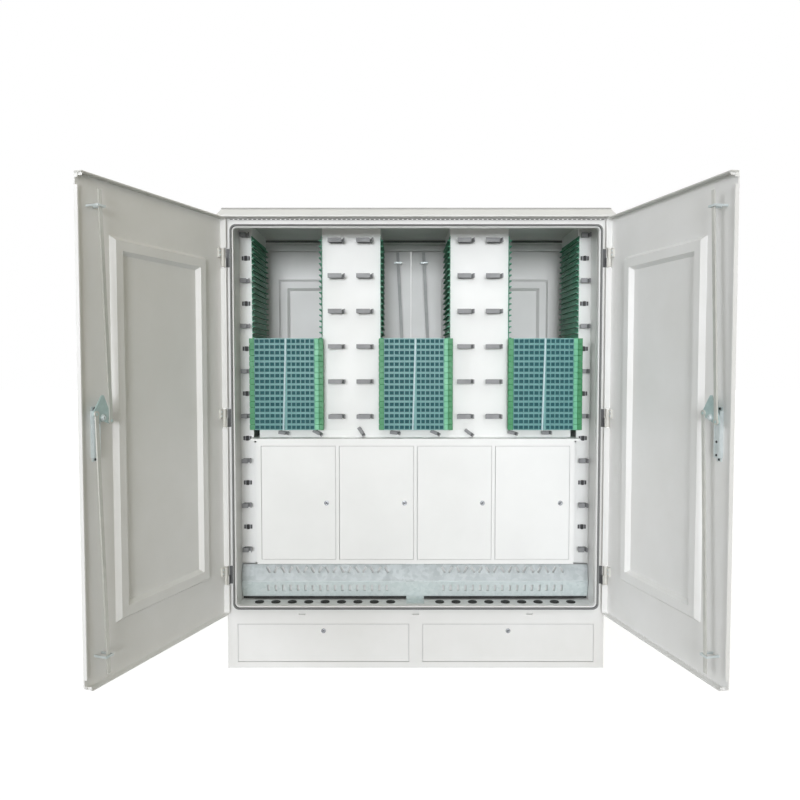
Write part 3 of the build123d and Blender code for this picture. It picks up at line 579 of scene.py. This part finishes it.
@dataclass
class TrayStack:
    """Fibre trays in three columns, each with its adapters, ears and label strip. Millimetres."""

    # Material indexes of a tray's shell, and of the ports among its adapters.
    TRAY, EAR, EAR_EDGE, BAR = range(4)
    PORT = 1

    columns: dict[str, float] = field(default_factory=lambda: {"left": -478.0, "centre": 0.0, "right": 478.0})
    filled: int = 16
    bottom: float = 857.0
    pitch: float = 21.2
    front: float = -172.0
    bar_half: float = 134.0
    bar_depth: float = 22.0
    bar_gap: float = 0.4
    bar_bevel: float = 0.4
    body_half: float = 128.0
    body_back: float = 150.0
    body_gap: float = 4.2
    body_bevel: float = 1.0
    rail_height: float = 4.0
    lid_rim: float = 3.0
    lid_slope: float = 0.5
    lid_sink: float = 2.0
    left_ear: float = 18.0
    right_ear: float = 29.0
    ear_step: float = 3.0
    ear_bevel: float = 1.0
    tab_reach: float = 1.5
    tab_inset: float = 4.0
    tab_step: float = 1.0
    tab_back: float = 2.0
    tab_margin: float = 1.5
    edge_width: float = 13.0
    edge_reach: float = 4.0
    edge_step: float = 5.0
    edge_bevel: float = 0.8
    grip_rim: float = 2.5
    grip_slope: float = 0.6
    grip_sink: float = 1.5
    label_half: float = 2.9
    label_room: float = 3.0
    label_drift: float = 9.5
    label_step: float = 1.0
    label_bevel: float = 0.8
    window_slope: float = 1.2
    window_sink: float = 0.4
    adapters: int = 6
    adapter_depth: float = 8.0
    adapter_margin: float = 2.7
    adapter_gap: float = 1.0
    port_wall: float = 1.7
    port_slope: float = 0.4
    port_depth: float = 5.0

    def adapter_spans(self) -> list[tuple[float, float]]:
        """Lays out the adapters of a tray.

        Returns:
            Left and right edge of every adapter.
        """
        spans = []
        for start, end in ((-self.bar_half + self.left_ear, -self.label_room),
                           (self.label_room, self.bar_half - self.right_ear)):
            width = (end - start) / self.adapters
            for step in range(self.adapters):
                left = start + step * width + self.adapter_gap / 2
                spans.append((left, left + width - self.adapter_gap))
        return spans

    def tray_master(self) -> bmesh.types.BMesh:
        """Models one empty tray at the middle column: body with a raised rim, cross bar and ears.

        Returns:
            Bmesh with the foot of its slot at height 0.
        """
        form = bmesh.new()
        back = self.front + self.bar_depth
        body = add_block(form, (-self.body_half, back, self.rail_height),
                         (self.body_half, self.body_back, self.pitch - self.body_gap), self.TRAY, self.body_bevel)
        sink(form, facing(body, UPWARD), self.lid_sink, self.lid_slope, self.lid_rim)
        low, high = self.bar_gap / 2, self.pitch - self.bar_gap / 2
        left, right = -self.bar_half + self.left_ear, self.bar_half - self.right_ear
        edge = self.bar_half - self.edge_width
        add_block(form, (left, self.front, low), (right, back, high), self.BAR, self.bar_bevel)
        add_block(form, (-self.bar_half, self.front - self.ear_step, low), (left, back, high), self.TRAY,
                  self.edge_bevel)
        add_block(form, (-self.bar_half - self.tab_reach, self.front - self.tab_step, low + self.tab_margin),
                  (-self.bar_half + self.tab_inset, back - self.tab_back, high - self.tab_margin), self.EAR_EDGE,
                  self.edge_bevel)
        add_block(form, (right, self.front - self.ear_step, low), (edge, back, high), self.EAR, self.ear_bevel)
        grip = add_block(form, (edge, self.front - self.edge_step, low),
                         (self.bar_half + self.edge_reach, back, high), self.EAR_EDGE, self.edge_bevel)
        sink(form, facing(grip, FORWARD), self.grip_sink, self.grip_slope, self.grip_rim)
        return form

    def adapter_master(self) -> bmesh.types.BMesh:
        """Models the adapters of one tray, each a shell with a sunk port in dark teal, painted shade.

        Returns:
            Bmesh with the foot of its slot at height 0.
        """
        form = bmesh.new()
        low, high = self.adapter_margin, self.pitch - self.adapter_margin
        for left, right in self.adapter_spans():
            shell = add_block(form, (left, self.front - self.adapter_depth, low), (right, self.front, high))
            port = facing(shell, FORWARD)
            sink(form, port, self.port_depth, self.port_slope, self.port_wall)
            # Dark teal of the port: painted shade inside the opening.
            port.material_index = self.PORT
        return form

    def label_master(self) -> bmesh.types.BMesh:
        """Models the label strip of one tray, a clear holder over a paper strip.

        Returns:
            Bmesh with the foot of its slot at height 0.
        """
        form = bmesh.new()
        low, high = self.bar_gap / 2, self.pitch - self.bar_gap / 2
        strip = add_block(form, (-self.label_half, self.front - self.adapter_depth - self.label_step, low),
                          (self.label_half, self.front, high), 0, self.label_bevel)
        sink(form, facing(strip, FORWARD), self.window_sink, self.window_slope)
        return form

    def places(self, column: float, slots: Iterable[int]) -> list[tuple[Matrix, Matrix]]:
        """Gives the place of every tray and of its label.

        Args:
            column: Middle of the column.
            slots: Slot numbers.

        Returns:
            Tray and label matrices.
        """
        found = []
        for slot in slots:
            tray = Matrix.Translation(Vector((column, 0.0, self.bottom + slot * self.pitch)) * MM)
            drift = self.label_drift * (slot / (self.filled - 1) - 1.0)
            found.append((tray, tray @ Matrix.Translation(Vector((drift, 0.0, 0.0)) * MM)))
        return found

    def build(self, shop: Workshop) -> None:
        """Makes the trays that stay in, and the sliding tray on top of each column.

        Args:
            shop: Workshop that makes the pieces.
        """
        resting = [place for x in self.columns.values() for place in self.places(x, range(self.filled - 1))]
        groups = {"fixed": ("cabinet", ("splice_trays", "fibre_adapters"), resting)}
        for column, x in self.columns.items():
            sliding = f"{column}_tray"
            groups[column] = (sliding, (sliding,), self.places(x, [self.filled - 1]))
        greens = (Finishes.TRAY, Finishes.EAR, Finishes.EAR_EDGE, Finishes.BAR)
        tray, adapter, label = self.tray_master(), self.adapter_master(), self.label_master()
        for title, (body, replaced, places) in groups.items():
            shells, fronts, strips = bmesh.new(), bmesh.new(), bmesh.new()
            for tray_place, label_place in places:
                add_copy(shells, tray, tray_place)
                add_copy(fronts, adapter, tray_place)
                add_copy(strips, label, label_place)
            shop.piece(f"{title}_tray_shells", shells, greens, body, "tray_plastic", replaced)
            shop.piece(f"{title}_tray_adapters", fronts, (Finishes.ADAPTER, Finishes.PORT), body,
                       "adapter_plastic")
            shop.piece(f"{title}_tray_labels", strips, (Finishes.LABEL,), body, "adapter_plastic")
        for master in (tray, adapter, label):
            master.free()


@dataclass
class Fixings:
    """Clips of the side strips, caps of the cable entries and key faces of the small locks. Millimetres."""

    strip_x: float = 632.5
    strip_front: float = -120.0
    ring_first: float = 401.0
    ring_last: float = 1580.0
    ring_rows: int = 8
    clip_half: float = 15.0
    clip_height: float = 18.0
    clip_core: float = 5.0
    clip_rise: float = 7.0
    clip_bevel: float = 1.0
    jaw: float = 4.0
    jaw_margin: float = 2.0
    jaw_bevel: float = 0.6
    sole: float = 1.2
    sole_margin: float = 1.0
    cap_first: float = 92.0
    cap_pitch: float = 61.6
    caps_per_side: int = 9
    cap_y: float = -163.0
    cap_z: float = 208.0
    cap_radius: float = 17.0
    # Share of the cap's radius, and height.
    cap_steps: Profile = ((0.0, 2.0), (0.45, 2.0), (0.48, 3.4), (0.62, 3.4), (0.66, 1.2), (0.80, 1.2), (0.84, 3.0),
                          (0.97, 3.0), (1.0, 2.2), (1.0, 0.0))
    splitter_rise: float = 9.0
    plinth_inset: float = 8.5
    lock_rim: Profile = ((3.2, 0.2), (3.4, 1.0), (6.4, 1.0), (7.2, 0.6), (7.8, 0.0))
    lock_well: Profile = ((0.0, 0.4), (3.3, 0.4), (3.3, 0.0))
    key_half: float = 0.7
    key_rise: float = 0.9
    key_reach: float = 2.6
    flats: int = 24

    def clips(self, shop: Workshop) -> None:
        """Makes the black clips on the side strips, midway between the rings.

        Args:
            shop: Workshop that makes the piece.
        """
        form = bmesh.new()
        pitch = (self.ring_last - self.ring_first) / (self.ring_rows - 1)
        face = self.strip_front
        for x in (-self.strip_x, self.strip_x):
            left, right = x - self.clip_half, x + self.clip_half
            for row in range(self.ring_rows - 1):
                z = self.ring_first + (row + 0.5) * pitch
                low, high = z - self.clip_height / 2, z + self.clip_height / 2
                add_block(form, (x - self.clip_core, face - self.clip_rise, low), (x + self.clip_core, face, high),
                          0, self.clip_bevel)
                for start, end in ((left, left + self.jaw), (right - self.jaw, right)):
                    add_block(form, (start, face - self.jaw, low + self.jaw_margin),
                              (end, face, high - self.jaw_margin), 0, self.jaw_bevel)
                add_block(form, (left, face - self.sole, low + self.sole_margin),
                          (right, face, high - self.sole_margin), 1)
        shop.piece("strip_clips", form, (Finishes.CLIP, Finishes.RING), "cabinet", "seal_rubber")

    def caps(self, shop: Workshop) -> None:
        """Makes the rubber caps of the cable entries, each with a stepped cone.

        Args:
            shop: Workshop that makes the piece.
        """
        form = bmesh.new()
        profile = [(share * self.cap_radius, height) for share, height in self.cap_steps]
        for side in (-1, 1):
            for step in range(self.caps_per_side):
                x = side * (self.cap_first + step * self.cap_pitch)
                add_lathe(form, profile, self.flats, lathe_place(x, self.cap_y, self.cap_z, Aim.UP))
        shop.piece("cable_caps", form, (Finishes.CAP_RUBBER,), "cabinet", "seal_rubber", ("cable_plugs",))

    def lock_faces(self, shop: Workshop) -> None:
        """Makes the key faces of the quarter-turn locks on the splitter doors and the plinth panels.

        Args:
            shop: Workshop that makes the pieces.
        """
        splitters = [f"splitter_lock_{bay}" for bay in BAYS]
        for name in (*splitters, "plinth_lock_left", "plinth_lock_right"):
            low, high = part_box(name)
            head = low.y / MM
            if name in splitters:
                x, z = (low.x + high.x) / 2 / MM, low.z / MM + self.splitter_rise
            else:
                x, z = low.x / MM + self.plinth_inset, (low.z + high.z) / 2 / MM
            form = bmesh.new()
            for index, profile in enumerate((self.lock_rim, self.lock_well)):
                add_lathe(form, profile, self.flats, lathe_place(x, head, z, Aim.FRONT), index)
            add_block(form, (x - self.key_half, head - self.key_rise, z - self.key_reach),
                      (x + self.key_half, head, z + self.key_reach))
            shop.piece(f"{name}_face", form, (Finishes.NICKEL, Finishes.SHADE), name, "lock_chrome")

    def build(self, shop: Workshop) -> None:
        """Makes all fixings of the cabinet.

        Args:
            shop: Workshop that makes the pieces.
        """
        self.clips(shop)
        self.caps(shop)
        self.lock_faces(shop)


@dataclass
class DoorFittings:
    """Screws, plates and cappings on the leaves, laid out on the closed front leaf. Millimetres."""

    hinge_x: float = 680.0
    hinge_y: float = -284.0
    hinge_edge: float = 684.0
    hinge_heights: tuple[float, float, float] = (343.0, 909.0, 1475.0)
    hinge_plate: float = 7.0
    hinge_inset: float = 14.0
    hinge_screws: tuple[float, float] = (9.0, 23.0)
    seam: float = 10.0
    half_gap: float = 1.0
    lock_backset: float = 54.0
    outside: float = -297.0
    inside: float = -293.0
    rim: float = -272.0
    top: float = 1614.0
    skin: float = 4.0
    capping: float = 0.4
    capping_end: float = 1.0
    capping_bevel: float = 0.8
    lock_z: float = 954.0
    case_half: float = 13.0
    case_low: float = 112.0
    case_high: float = 18.0
    case_depth: float = 11.0
    case_screws: tuple[float, float, float] = (105.0, 68.0, 17.0)
    screw_rise: float = 0.5
    cover_inset: float = 1.5
    cover_thickness: float = 1.2
    cover_bevel: float = 0.6
    cover_slope: float = 3.0
    cover_sink: float = 0.7
    flange: float = 11.0
    flange_inset: float = 2.0
    flange_thickness: float = 2.5
    flange_bevel: float = 0.8
    cam_top: float = -260.5
    screw: Profile = ((0.0, 0.9), (1.2, 0.9), (1.3, 1.9), (2.6, 1.7), (3.6, 0.9), (3.9, 0.0))
    screw_flats: int = 12
    washer: Profile = ((0.0, 1.4), (9.2, 1.4), (9.8, 1.0), (9.8, 0.0))
    washer_flats: int = 20
    nut: Profile = ((0.0, 5.6), (2.6, 5.6), (2.6, 6.4), (4.4, 6.4), (7.4, 5.4), (7.4, 1.4))
    nut_flats: int = 6

    def lock_x(self, leaf: Leaf) -> float:
        """Gives the X of the lock's spindle."""
        return self.seam + leaf.side * (self.half_gap + self.lock_backset)

    def add_screw(self, form: bmesh.types.BMesh, x: float, y: float, z: float, index: int = 0) -> None:
        """Adds a pan-head screw with its foot at a point."""
        add_lathe(form, self.screw, self.screw_flats, lathe_place(x, y, z, Aim.REAR), index)

    def lock_trim(self, leaf: Leaf) -> bmesh.types.BMesh:
        """Models the fixing flanges and cover of the lock case with their screws, and the hinge screws.

        Args:
            leaf: Leaf that carries them.

        Returns:
            Bmesh in the closed front frame.
        """
        form = bmesh.new()
        x = self.lock_x(leaf)
        low, high = self.lock_z - self.case_low, self.lock_z + self.case_high
        half, plate = self.case_half - self.flange_inset, self.inside + self.flange_thickness
        for foot, head in ((low - self.flange, low), (high, high + self.flange)):
            add_block(form, (x - half, self.inside, foot), (x + half, plate, head), 0, self.flange_bevel)
            self.add_screw(form, x, plate, (foot + head) / 2, 1)
        half, face = self.case_half - self.cover_inset, self.inside + self.case_depth
        cover = add_block(form, (x - half, face, low + self.cover_inset),
                          (x + half, face + self.cover_thickness, self.lock_z - self.case_high), 0,
                          self.cover_bevel)
        sink(form, facing(cover, BACKWARD), self.cover_sink, self.cover_slope)
        for drop in self.case_screws:
            self.add_screw(form, x, face + self.screw_rise, self.lock_z - drop, 1)
        for z in self.hinge_heights:
            for rise in self.hinge_screws:
                self.add_screw(form, leaf.side * (self.hinge_x - self.hinge_inset), self.inside + self.hinge_plate,
                               z + rise)
        return form

    def top_capping(self, leaf: Leaf) -> bmesh.types.BMesh:
        """Models the channel that caps the top edge of a leaf.

        Args:
            leaf: Leaf that carries it.

        Returns:
            Bmesh in the closed front frame.
        """
        form = bmesh.new()
        left, right = sorted((leaf.side * self.hinge_edge, self.seam + leaf.side * self.half_gap))
        add_block(form,
                  (left + self.capping_end, self.outside - self.capping, self.top - self.skin - self.capping),
                  (right - self.capping_end, self.rim + self.capping, self.top + self.capping), 0,
                  self.capping_bevel)
        return form

    def cam_nut(self, leaf: Leaf) -> bmesh.types.BMesh:
        """Models the nut and washer on the cam's spindle.

        Args:
            leaf: Leaf that carries the lock.

        Returns:
            Bmesh in the closed front frame.
        """
        form = bmesh.new()
        place = lathe_place(self.lock_x(leaf), self.cam_top, self.lock_z, Aim.REAR)
        add_lathe(form, self.washer, self.washer_flats, place)
        add_lathe(form, self.nut, self.nut_flats, place)
        return form

    def build(self, shop: Workshop) -> None:
        """Makes the fittings of all four leaves.

        Args:
            shop: Workshop that makes the pieces.
        """
        zinc, paint = (Finishes.ZINC, Finishes.DARK_STEEL), (Finishes.CAPPING,)
        for leaf in Leaf:
            place = leaf.place(self.hinge_x * MM, self.hinge_y * MM)
            fittings = (("lock_trim", self.lock_trim(leaf), "door", zinc),
                        ("top_capping", self.top_capping(leaf), "door", paint),
                        ("cam_nut", self.cam_nut(leaf), "cam", zinc))
            for title, form, body, finishes in fittings:
                bmesh.ops.transform(form, matrix=place, verts=form.verts)
                shop.piece(f"{leaf.title}_{title}", form, finishes, f"{leaf.title}_{body}", "zinc_steel")


@dataclass
class Eaves:
    """Vent strips along the top of both door frames, close under the eaves. Millimetres."""

    half_length: float = 664.0
    pitch: float = 16.6
    rib: float = 6.0
    face: float = 270.0
    backing: float = 0.4
    thickness: float = 1.2
    low: float = 1607.5
    high: float = 1615.0
    border: float = 1.5

    def add_bar(self, form: bmesh.types.BMesh, side: int, span: Span, rise: Span, depth: float,
                index: int = 0) -> None:
        """Adds one flat bar of a strip.

        Args:
            form: Bmesh that gets it.
            side: -1 at the front, 1 at the rear.
            span: Left and right end.
            rise: Lower and upper edge.
            depth: Thickness.
            index: Material index.
        """
        near, far = sorted((side * self.face, side * (self.face + depth)))
        add_block(form, (span[0], near, rise[0]), (span[1], far, rise[1]), index)

    def build(self, shop: Workshop) -> None:
        """Makes both strips, ribbed over a grey backing that is painted shade inside the slots.

        Args:
            shop: Workshop that makes the piece.
        """
        form = bmesh.new()
        whole, upright = (-self.half_length, self.half_length), (self.low, self.high)
        ribs = int(2 * self.half_length / self.pitch) + 1
        for side in (-1, 1):
            # Grey backing: painted shade inside the slots.
            self.add_bar(form, side, whole, upright, self.backing, 1)
            self.add_bar(form, side, whole, (self.low, self.low + self.border), self.thickness)
            self.add_bar(form, side, whole, (self.high - self.border, self.high), self.thickness)
            for step in range(ribs):
                left = -self.half_length + step * self.pitch
                self.add_bar(form, side, (left, left + self.rib), upright, self.thickness)
        shop.piece("eave_vents", form, (Finishes.POLYESTER, Finishes.VENT), "cabinet", "moulded_polyester")


@dataclass
class CableShelf:
    """White backing, dark strips and crease of the slotted cable plates: the strips are painted shadow under the
    feet and along the tops, and the crease's lighter zinc is a painted highlight. Millimetres.
    """

    near: float = 9.0
    far: float = 652.0
    back: float = -120.5
    back_sheet: float = 1.5
    back_low: float = 223.0
    back_high: float = 343.0
    crest: float = -140.0
    crest_z: float = 280.0
    crest_half: float = 2.0
    crest_rise: float = 1.2
    leg: float = -128.0
    edge_low: float = 212.5
    edge_high: float = 220.5
    edge_half: float = 1.2
    top_low: float = 342.5
    top_high: float = 347.5
    bevel: float = 0.4

    def build(self, shop: Workshop) -> None:
        """Makes the backing sheets, the dark strips of painted shadow at feet and tops, and the crease along the
        crest, whose lighter zinc is a painted highlight.

        Args:
            shop: Workshop that makes the pieces.
        """
        sheets, edges, creases = bmesh.new(), bmesh.new(), bmesh.new()
        for left, right in mirrored(self.near, self.far):
            add_block(sheets, (left, self.back - self.back_sheet, self.back_low),
                      (right, self.back, self.back_high), 0, self.bevel)
            # Dark strips of painted shadow: under the feet, and along the tops below the housing.
            for low, high, index in ((self.edge_low, self.edge_high, 0), (self.top_low, self.top_high, 1)):
                add_block(edges, (left, self.leg - self.edge_half, low), (right, self.leg + self.edge_half, high),
                          index, self.bevel)
            # Crest strip in lighter zinc: a painted highlight along the bend.
            add_block(creases, (left, self.crest - self.crest_rise, self.crest_z - self.crest_half),
                      (right, self.crest + self.crest_rise, self.crest_z + self.crest_half), 0, self.bevel)
        shop.piece("plate_crease_highlights", creases, (Finishes.ZINC,), "cabinet", "galvanised_sheet")
        shop.piece("plate_backs", sheets, (Finishes.POWDER,), "cabinet", "powder_coat")
        shop.piece("plate_shadow_strips", edges, (Finishes.CAP_RUBBER, Finishes.SEAL), "cabinet", "seal_rubber")


@dataclass
class HousingCovers:
    """White strips that close the gaps between the splitter housing and the side channels. Millimetres."""

    inner: float = 582.0
    outer: float = 608.0
    front: float = -122.0
    thickness: float = 1.6
    low: float = 348.0
    high: float = 806.0
    bevel: float = 0.4

    def build(self, shop: Workshop) -> None:
        """Makes the strip on each side of the housing.

        Args:
            shop: Workshop that makes the piece.
        """
        form = bmesh.new()
        for left, right in mirrored(self.inner, self.outer):
            add_block(form, (left, self.front, self.low), (right, self.front + self.thickness, self.high), 0,
                      self.bevel)
        shop.piece("housing_covers", form, (Finishes.POWDER,), "cabinet", "powder_coat")


@dataclass
class RoofTrim:
    """Grey edge strip round the top of the roof. Millimetres."""

    half_x: float = 682.0
    half_y: float = 282.0
    low: float = 1643.0
    high: float = 1648.8
    inward: float = 3.0
    outward: float = 4.0
    bevel: float = 1.2

    def build(self, shop: Workshop) -> None:
        """Makes the strip along all four edges.

        Args:
            shop: Workshop that makes the piece.
        """
        form = bmesh.new()
        across = mirrored(self.half_x - self.inward, self.half_x + self.outward)
        along = mirrored(self.half_y - self.inward, self.half_y + self.outward)
        for (left, right), (near, far) in zip(across, along):
            add_block(form, (-self.half_x, near, self.low), (self.half_x, far, self.high), 0, self.bevel)
            add_block(form, (left, -self.half_y, self.low), (right, self.half_y, self.high), 0, self.bevel)
        shop.piece("roof_trim", form, (Finishes.ROOF_EDGE,), "cabinet", "moulded_polyester")


@dataclass
class HeadSeals:
    """Grey rubber strips inside, where the tops of both door frames meet the roof. Millimetres."""

    half_length: float = 654.0
    face: float = 210.0
    thickness: float = 1.2
    low: float = 1606.5
    high: float = 1615.5
    bevel: float = 0.4

    def build(self, shop: Workshop) -> None:
        """Makes the strip of the front frame and that of the rear frame.

        Args:
            shop: Workshop that makes the piece.
        """
        form = bmesh.new()
        for near, far in mirrored(self.face - self.thickness, self.face):
            add_block(form, (-self.half_length, near, self.low), (self.half_length, far, self.high), 0, self.bevel)
        shop.piece("head_seals", form, (Finishes.SEAL,), "cabinet", "seal_rubber")


@dataclass
class SeamStrips:
    """Grey strips round the edges of the plinth panels and the splitter doors, painted shade of the seams.
    Millimetres.
    """

    panel_near: float = 27.0
    panel_far: float = 641.0
    panel_low: float = 25.0
    panel_high: float = 159.0
    panel_face: float = -269.7
    panel_strip: float = 2.2
    foot_strip: float = 1.2
    bay_first: float = -567.5
    bay_pitch: float = 288.0
    bay_width: float = 271.0
    bay_low: float = 378.5
    bay_high: float = 797.5
    bay_face: float = -189.7
    bay_strip: float = 1.8
    hinge_strip: float = 1.2
    depth: float = 6.0

    def frame_strips(self, low: Point, high: Point,
                     widths: tuple[float, float, float, float]) -> bmesh.types.BMesh:
        """Models four strips round an upright rectangle.

        Args:
            low: Lower left front corner of the rectangle.
            high: Upper right back corner.
            widths: Width of the strip at the left, right, bottom and top.

        Returns:
            Bmesh in place.
        """
        form = bmesh.new()
        left, right, bottom, top = widths
        add_block(form, (low[0] - left, low[1], low[2] - bottom), (low[0], high[1], high[2] + top))
        add_block(form, (high[0], low[1], low[2] - bottom), (high[0] + right, high[1], high[2] + top))
        add_block(form, (low[0], low[1], low[2] - bottom), (high[0], high[1], low[2]))
        add_block(form, (low[0], low[1], high[2]), (high[0], high[1], high[2] + top))
        return form

    def build(self, shop: Workshop) -> None:
        """Makes the strips of both panels and of the four doors.

        Args:
            shop: Workshop that makes the pieces.
        """
        forms = {}
        wide, slim = self.panel_strip, self.bay_strip
        for side, (left, right) in zip(("left", "right"), mirrored(self.panel_near, self.panel_far)):
            forms[f"plinth_panel_{side}"] = self.frame_strips(
                (left, self.panel_face, self.panel_low), (right, self.panel_face + self.depth, self.panel_high),
                (wide, wide, self.foot_strip, wide))
        for step, bay in enumerate(BAYS):
            left = self.bay_first + step * self.bay_pitch
            forms[f"splitter_door_{bay}"] = self.frame_strips(
                (left, self.bay_face, self.bay_low),
                (left + self.bay_width, self.bay_face + self.depth, self.bay_high),
                (self.hinge_strip, slim, slim, slim))
        # Grey strips: painted shade along the seams.
        for name, form in forms.items():
            shop.piece(f"{name}_seal", form, (Finishes.STRIP,), name, "seal_rubber")


class Dressing:
    """Finish of every frame node that stays in view."""

    SHELL = ("plinth_frame", "plinth_panel_left", "plinth_panel_right", "left_side_panel", "right_side_panel",
             "front_frame", "rear_frame")
    SHEET = ("floor_plate", "rack_channels", "splitter_housing", "splitter_door_1", "splitter_door_2",
             "splitter_door_3", "splitter_door_4")
    NICKEL = ("splitter_lock_1", "splitter_lock_2", "splitter_lock_3", "splitter_lock_4", "plinth_lock_left",
              "plinth_lock_right")
    SINGLE = {"roof_cap": Finishes.ROOF, "door_gaskets": Finishes.SEAL, "frame_hinges": Finishes.HINGE,
              "fibre_rings": Finishes.RING, "tray_rails": Finishes.RAIL, "cable_plates": Finishes.GALVANISED}
    # Rods of the rear leaves, in the darker grey that is painted shade.
    DULL = ("rear_right_top_rod", "rear_right_bottom_rod", "rear_left_top_rod", "rear_left_bottom_rod")
    LEAF = {"door": Finishes.POLYESTER, "door_hinges": Finishes.HINGE_PAINT, "lock_case": Finishes.ZINC,
            "lock_cam": Finishes.CAM_ZINC, "handle": Finishes.HANDLE, "top_rod": Finishes.ROD,
            "bottom_rod": Finishes.ROD}

    def build(self, shop: Workshop) -> None:
        """Dresses the nodes.

        Args:
            shop: Workshop that holds the materials.
        """
        chosen = dict(self.SINGLE)
        chosen.update({node: Finishes.POLYESTER for node in self.SHELL})
        chosen.update({node: Finishes.POWDER for node in self.SHEET})
        chosen.update({node: Finishes.NICKEL for node in self.NICKEL})
        for leaf in Leaf:
            chosen.update({f"{leaf.title}_{piece}": finish for piece, finish in self.LEAF.items()})
        chosen.update({node: Finishes.DULL_SHADED_ROD for node in self.DULL})
        for node, finish in chosen.items():
            shop.dress(node, finish)


@dataclass(frozen=True)
class Lamp:
    """Far lamp: its strength, the direction that it shines from and how wide it looks."""

    name: str
    strength: float
    shines_from: Point
    width_deg: float


@dataclass
class Studio:
    """Camera, floor and light. Metres."""

    camera_at: Point = (-0.057, -2.958, 1.098)
    pitch_deg: float = 2.66
    focal_px: float = 754.0
    picture_px: float = 800.0
    sensor_mm: float = 36.0
    floor_half: float = 30.0
    floor_shade: str = "#B4B4B4"
    floor_roughness: float = 0.9
    floor_lift: float = 0.78
    ambient: float = 0.34
    left_tint: str = "#FFFFFF"
    right_tint: str = "#FFF3C4"
    lamp_tint: str = "#F9FBFF"
    lamps: tuple[Lamp, ...] = (Lamp("key", 1.86, (-0.04, -0.99, 0.05), 18.0),
                               Lamp("side", 0.86, (-0.85, -0.50, 0.25), 30.0),
                               Lamp("top", 0.55, (0.0, -0.80, 0.60), 40.0),
                               Lamp("back", 1.20, (0.30, 0.92, 0.27), 30.0))

    def camera(self) -> None:
        """Sets the camera at the photograph's viewing angle."""
        data = bpy.data.cameras.new("view")
        data.sensor_width = self.sensor_mm
        data.lens = self.focal_px / self.picture_px * self.sensor_mm
        made = bpy.data.objects.new("view", data)
        made.location = self.camera_at
        made.rotation_euler = (math.radians(90.0 - self.pitch_deg), 0.0, 0.0)
        bpy.context.scene.collection.objects.link(made)
        bpy.context.scene.camera = made

    def direct_rays(self, tree: bpy.types.NodeTree) -> bpy.types.NodeSocket:
        """Adds a switch that is 1 for what the camera sees straight, in a mirror or through glass.

        Args:
            tree: Node tree of the floor or the world.

        Returns:
            Switch output.
        """
        rays = add_node(tree, "ShaderNodeLightPath")
        seen = add_node(tree, "ShaderNodeMath", {"operation": "MAXIMUM"},
                        {0: rays.outputs["Is Camera Ray"], 1: rays.outputs["Is Glossy Ray"]})
        direct = add_node(tree, "ShaderNodeMath", {"operation": "MAXIMUM"},
                          {0: seen.outputs[0], 1: rays.outputs["Is Transmission Ray"]})
        return direct.outputs[0]

    def floor(self) -> None:
        """Lays a pale floor that shows white to the camera and keeps the shadow."""
        form = bmesh.new()
        bmesh.ops.create_grid(form, x_segments=1, y_segments=1, size=self.floor_half)
        mesh = bpy.data.meshes.new("floor")
        form.to_mesh(mesh)
        form.free()
        made = bpy.data.objects.new("floor", mesh)
        bpy.context.scene.collection.objects.link(made)
        material = bpy.data.materials.new("pale_floor")
        material.use_nodes = True
        tree = material.node_tree
        shader = tree.nodes["Principled BSDF"]
        shader.inputs["Base Color"].default_value = linear(self.floor_shade)
        shader.inputs["Roughness"].default_value = self.floor_roughness
        shader.inputs["Specular IOR Level"].default_value = 0.0
        lift = add_node(tree, "ShaderNodeMath", {"operation": "MULTIPLY"},
                        {0: self.direct_rays(tree), 1: self.floor_lift})
        shader.inputs["Emission Color"].default_value = WHITE
        tree.links.new(lift.outputs[0], shader.inputs["Emission Strength"])
        mesh.materials.append(material)

    def surround(self) -> None:
        """Makes the world: white where the camera sees it, and soft light, warmer from the right, elsewhere."""
        world = bpy.data.worlds.new("surround")
        world.use_nodes = True
        bpy.context.scene.world = world
        tree = world.node_tree
        direct = self.direct_rays(tree)
        strength = add_node(tree, "ShaderNodeMapRange", None,
                            {"Value": direct, "To Min": self.ambient, "To Max": 1.0})
        heading = add_node(tree, "ShaderNodeTexCoord").outputs["Generated"]
        axes = add_node(tree, "ShaderNodeSeparateXYZ", None, {0: heading})
        right = add_node(tree, "ShaderNodeMapRange", None,
                         {"Value": axes.outputs["X"], "From Min": -1.0, "From Max": 1.0})
        tint = add_node(tree, "ShaderNodeMix", {"data_type": "RGBA"},
                        {FACTOR: right.outputs[0], FIRST: linear(self.left_tint), SECOND: linear(self.right_tint)})
        white = add_node(tree, "ShaderNodeMix", {"data_type": "RGBA"},
                         {FACTOR: direct, FIRST: tint.outputs[MIXED], SECOND: WHITE})
        background = tree.nodes["Background"]
        tree.links.new(white.outputs[MIXED], background.inputs["Color"])
        tree.links.new(strength.outputs[0], background.inputs["Strength"])

    def light(self) -> None:
        """Hangs the lamps."""
        for lamp in self.lamps:
            data = bpy.data.lights.new(lamp.name, "SUN")
            data.energy = lamp.strength
            data.color = linear(self.lamp_tint)[:3]
            data.angle = math.radians(lamp.width_deg)
            made = bpy.data.objects.new(lamp.name, data)
            made.rotation_euler = Vector(lamp.shines_from).to_track_quat("Z", "Y").to_euler()
            bpy.context.scene.collection.objects.link(made)

    def build(self) -> None:
        """Sets up the studio."""
        self.camera()
        self.floor()
        self.surround()
        self.light()
        bpy.context.scene.view_settings.view_transform = "Standard"


def main() -> None:
    """Builds the studio and every piece in order."""
    logging.basicConfig(level=logging.INFO, format="%(name)s: %(message)s")
    shop = Workshop()
    Studio().build()
    Dressing().build(shop)
    for assembly in (TrayStack(), Fixings(), DoorFittings(), Eaves(), CableShelf(), HousingCovers(), RoofTrim(),
                     HeadSeals(), SeamStrips()):
        assembly.build(shop)


if __name__ == "__main__":
    main()
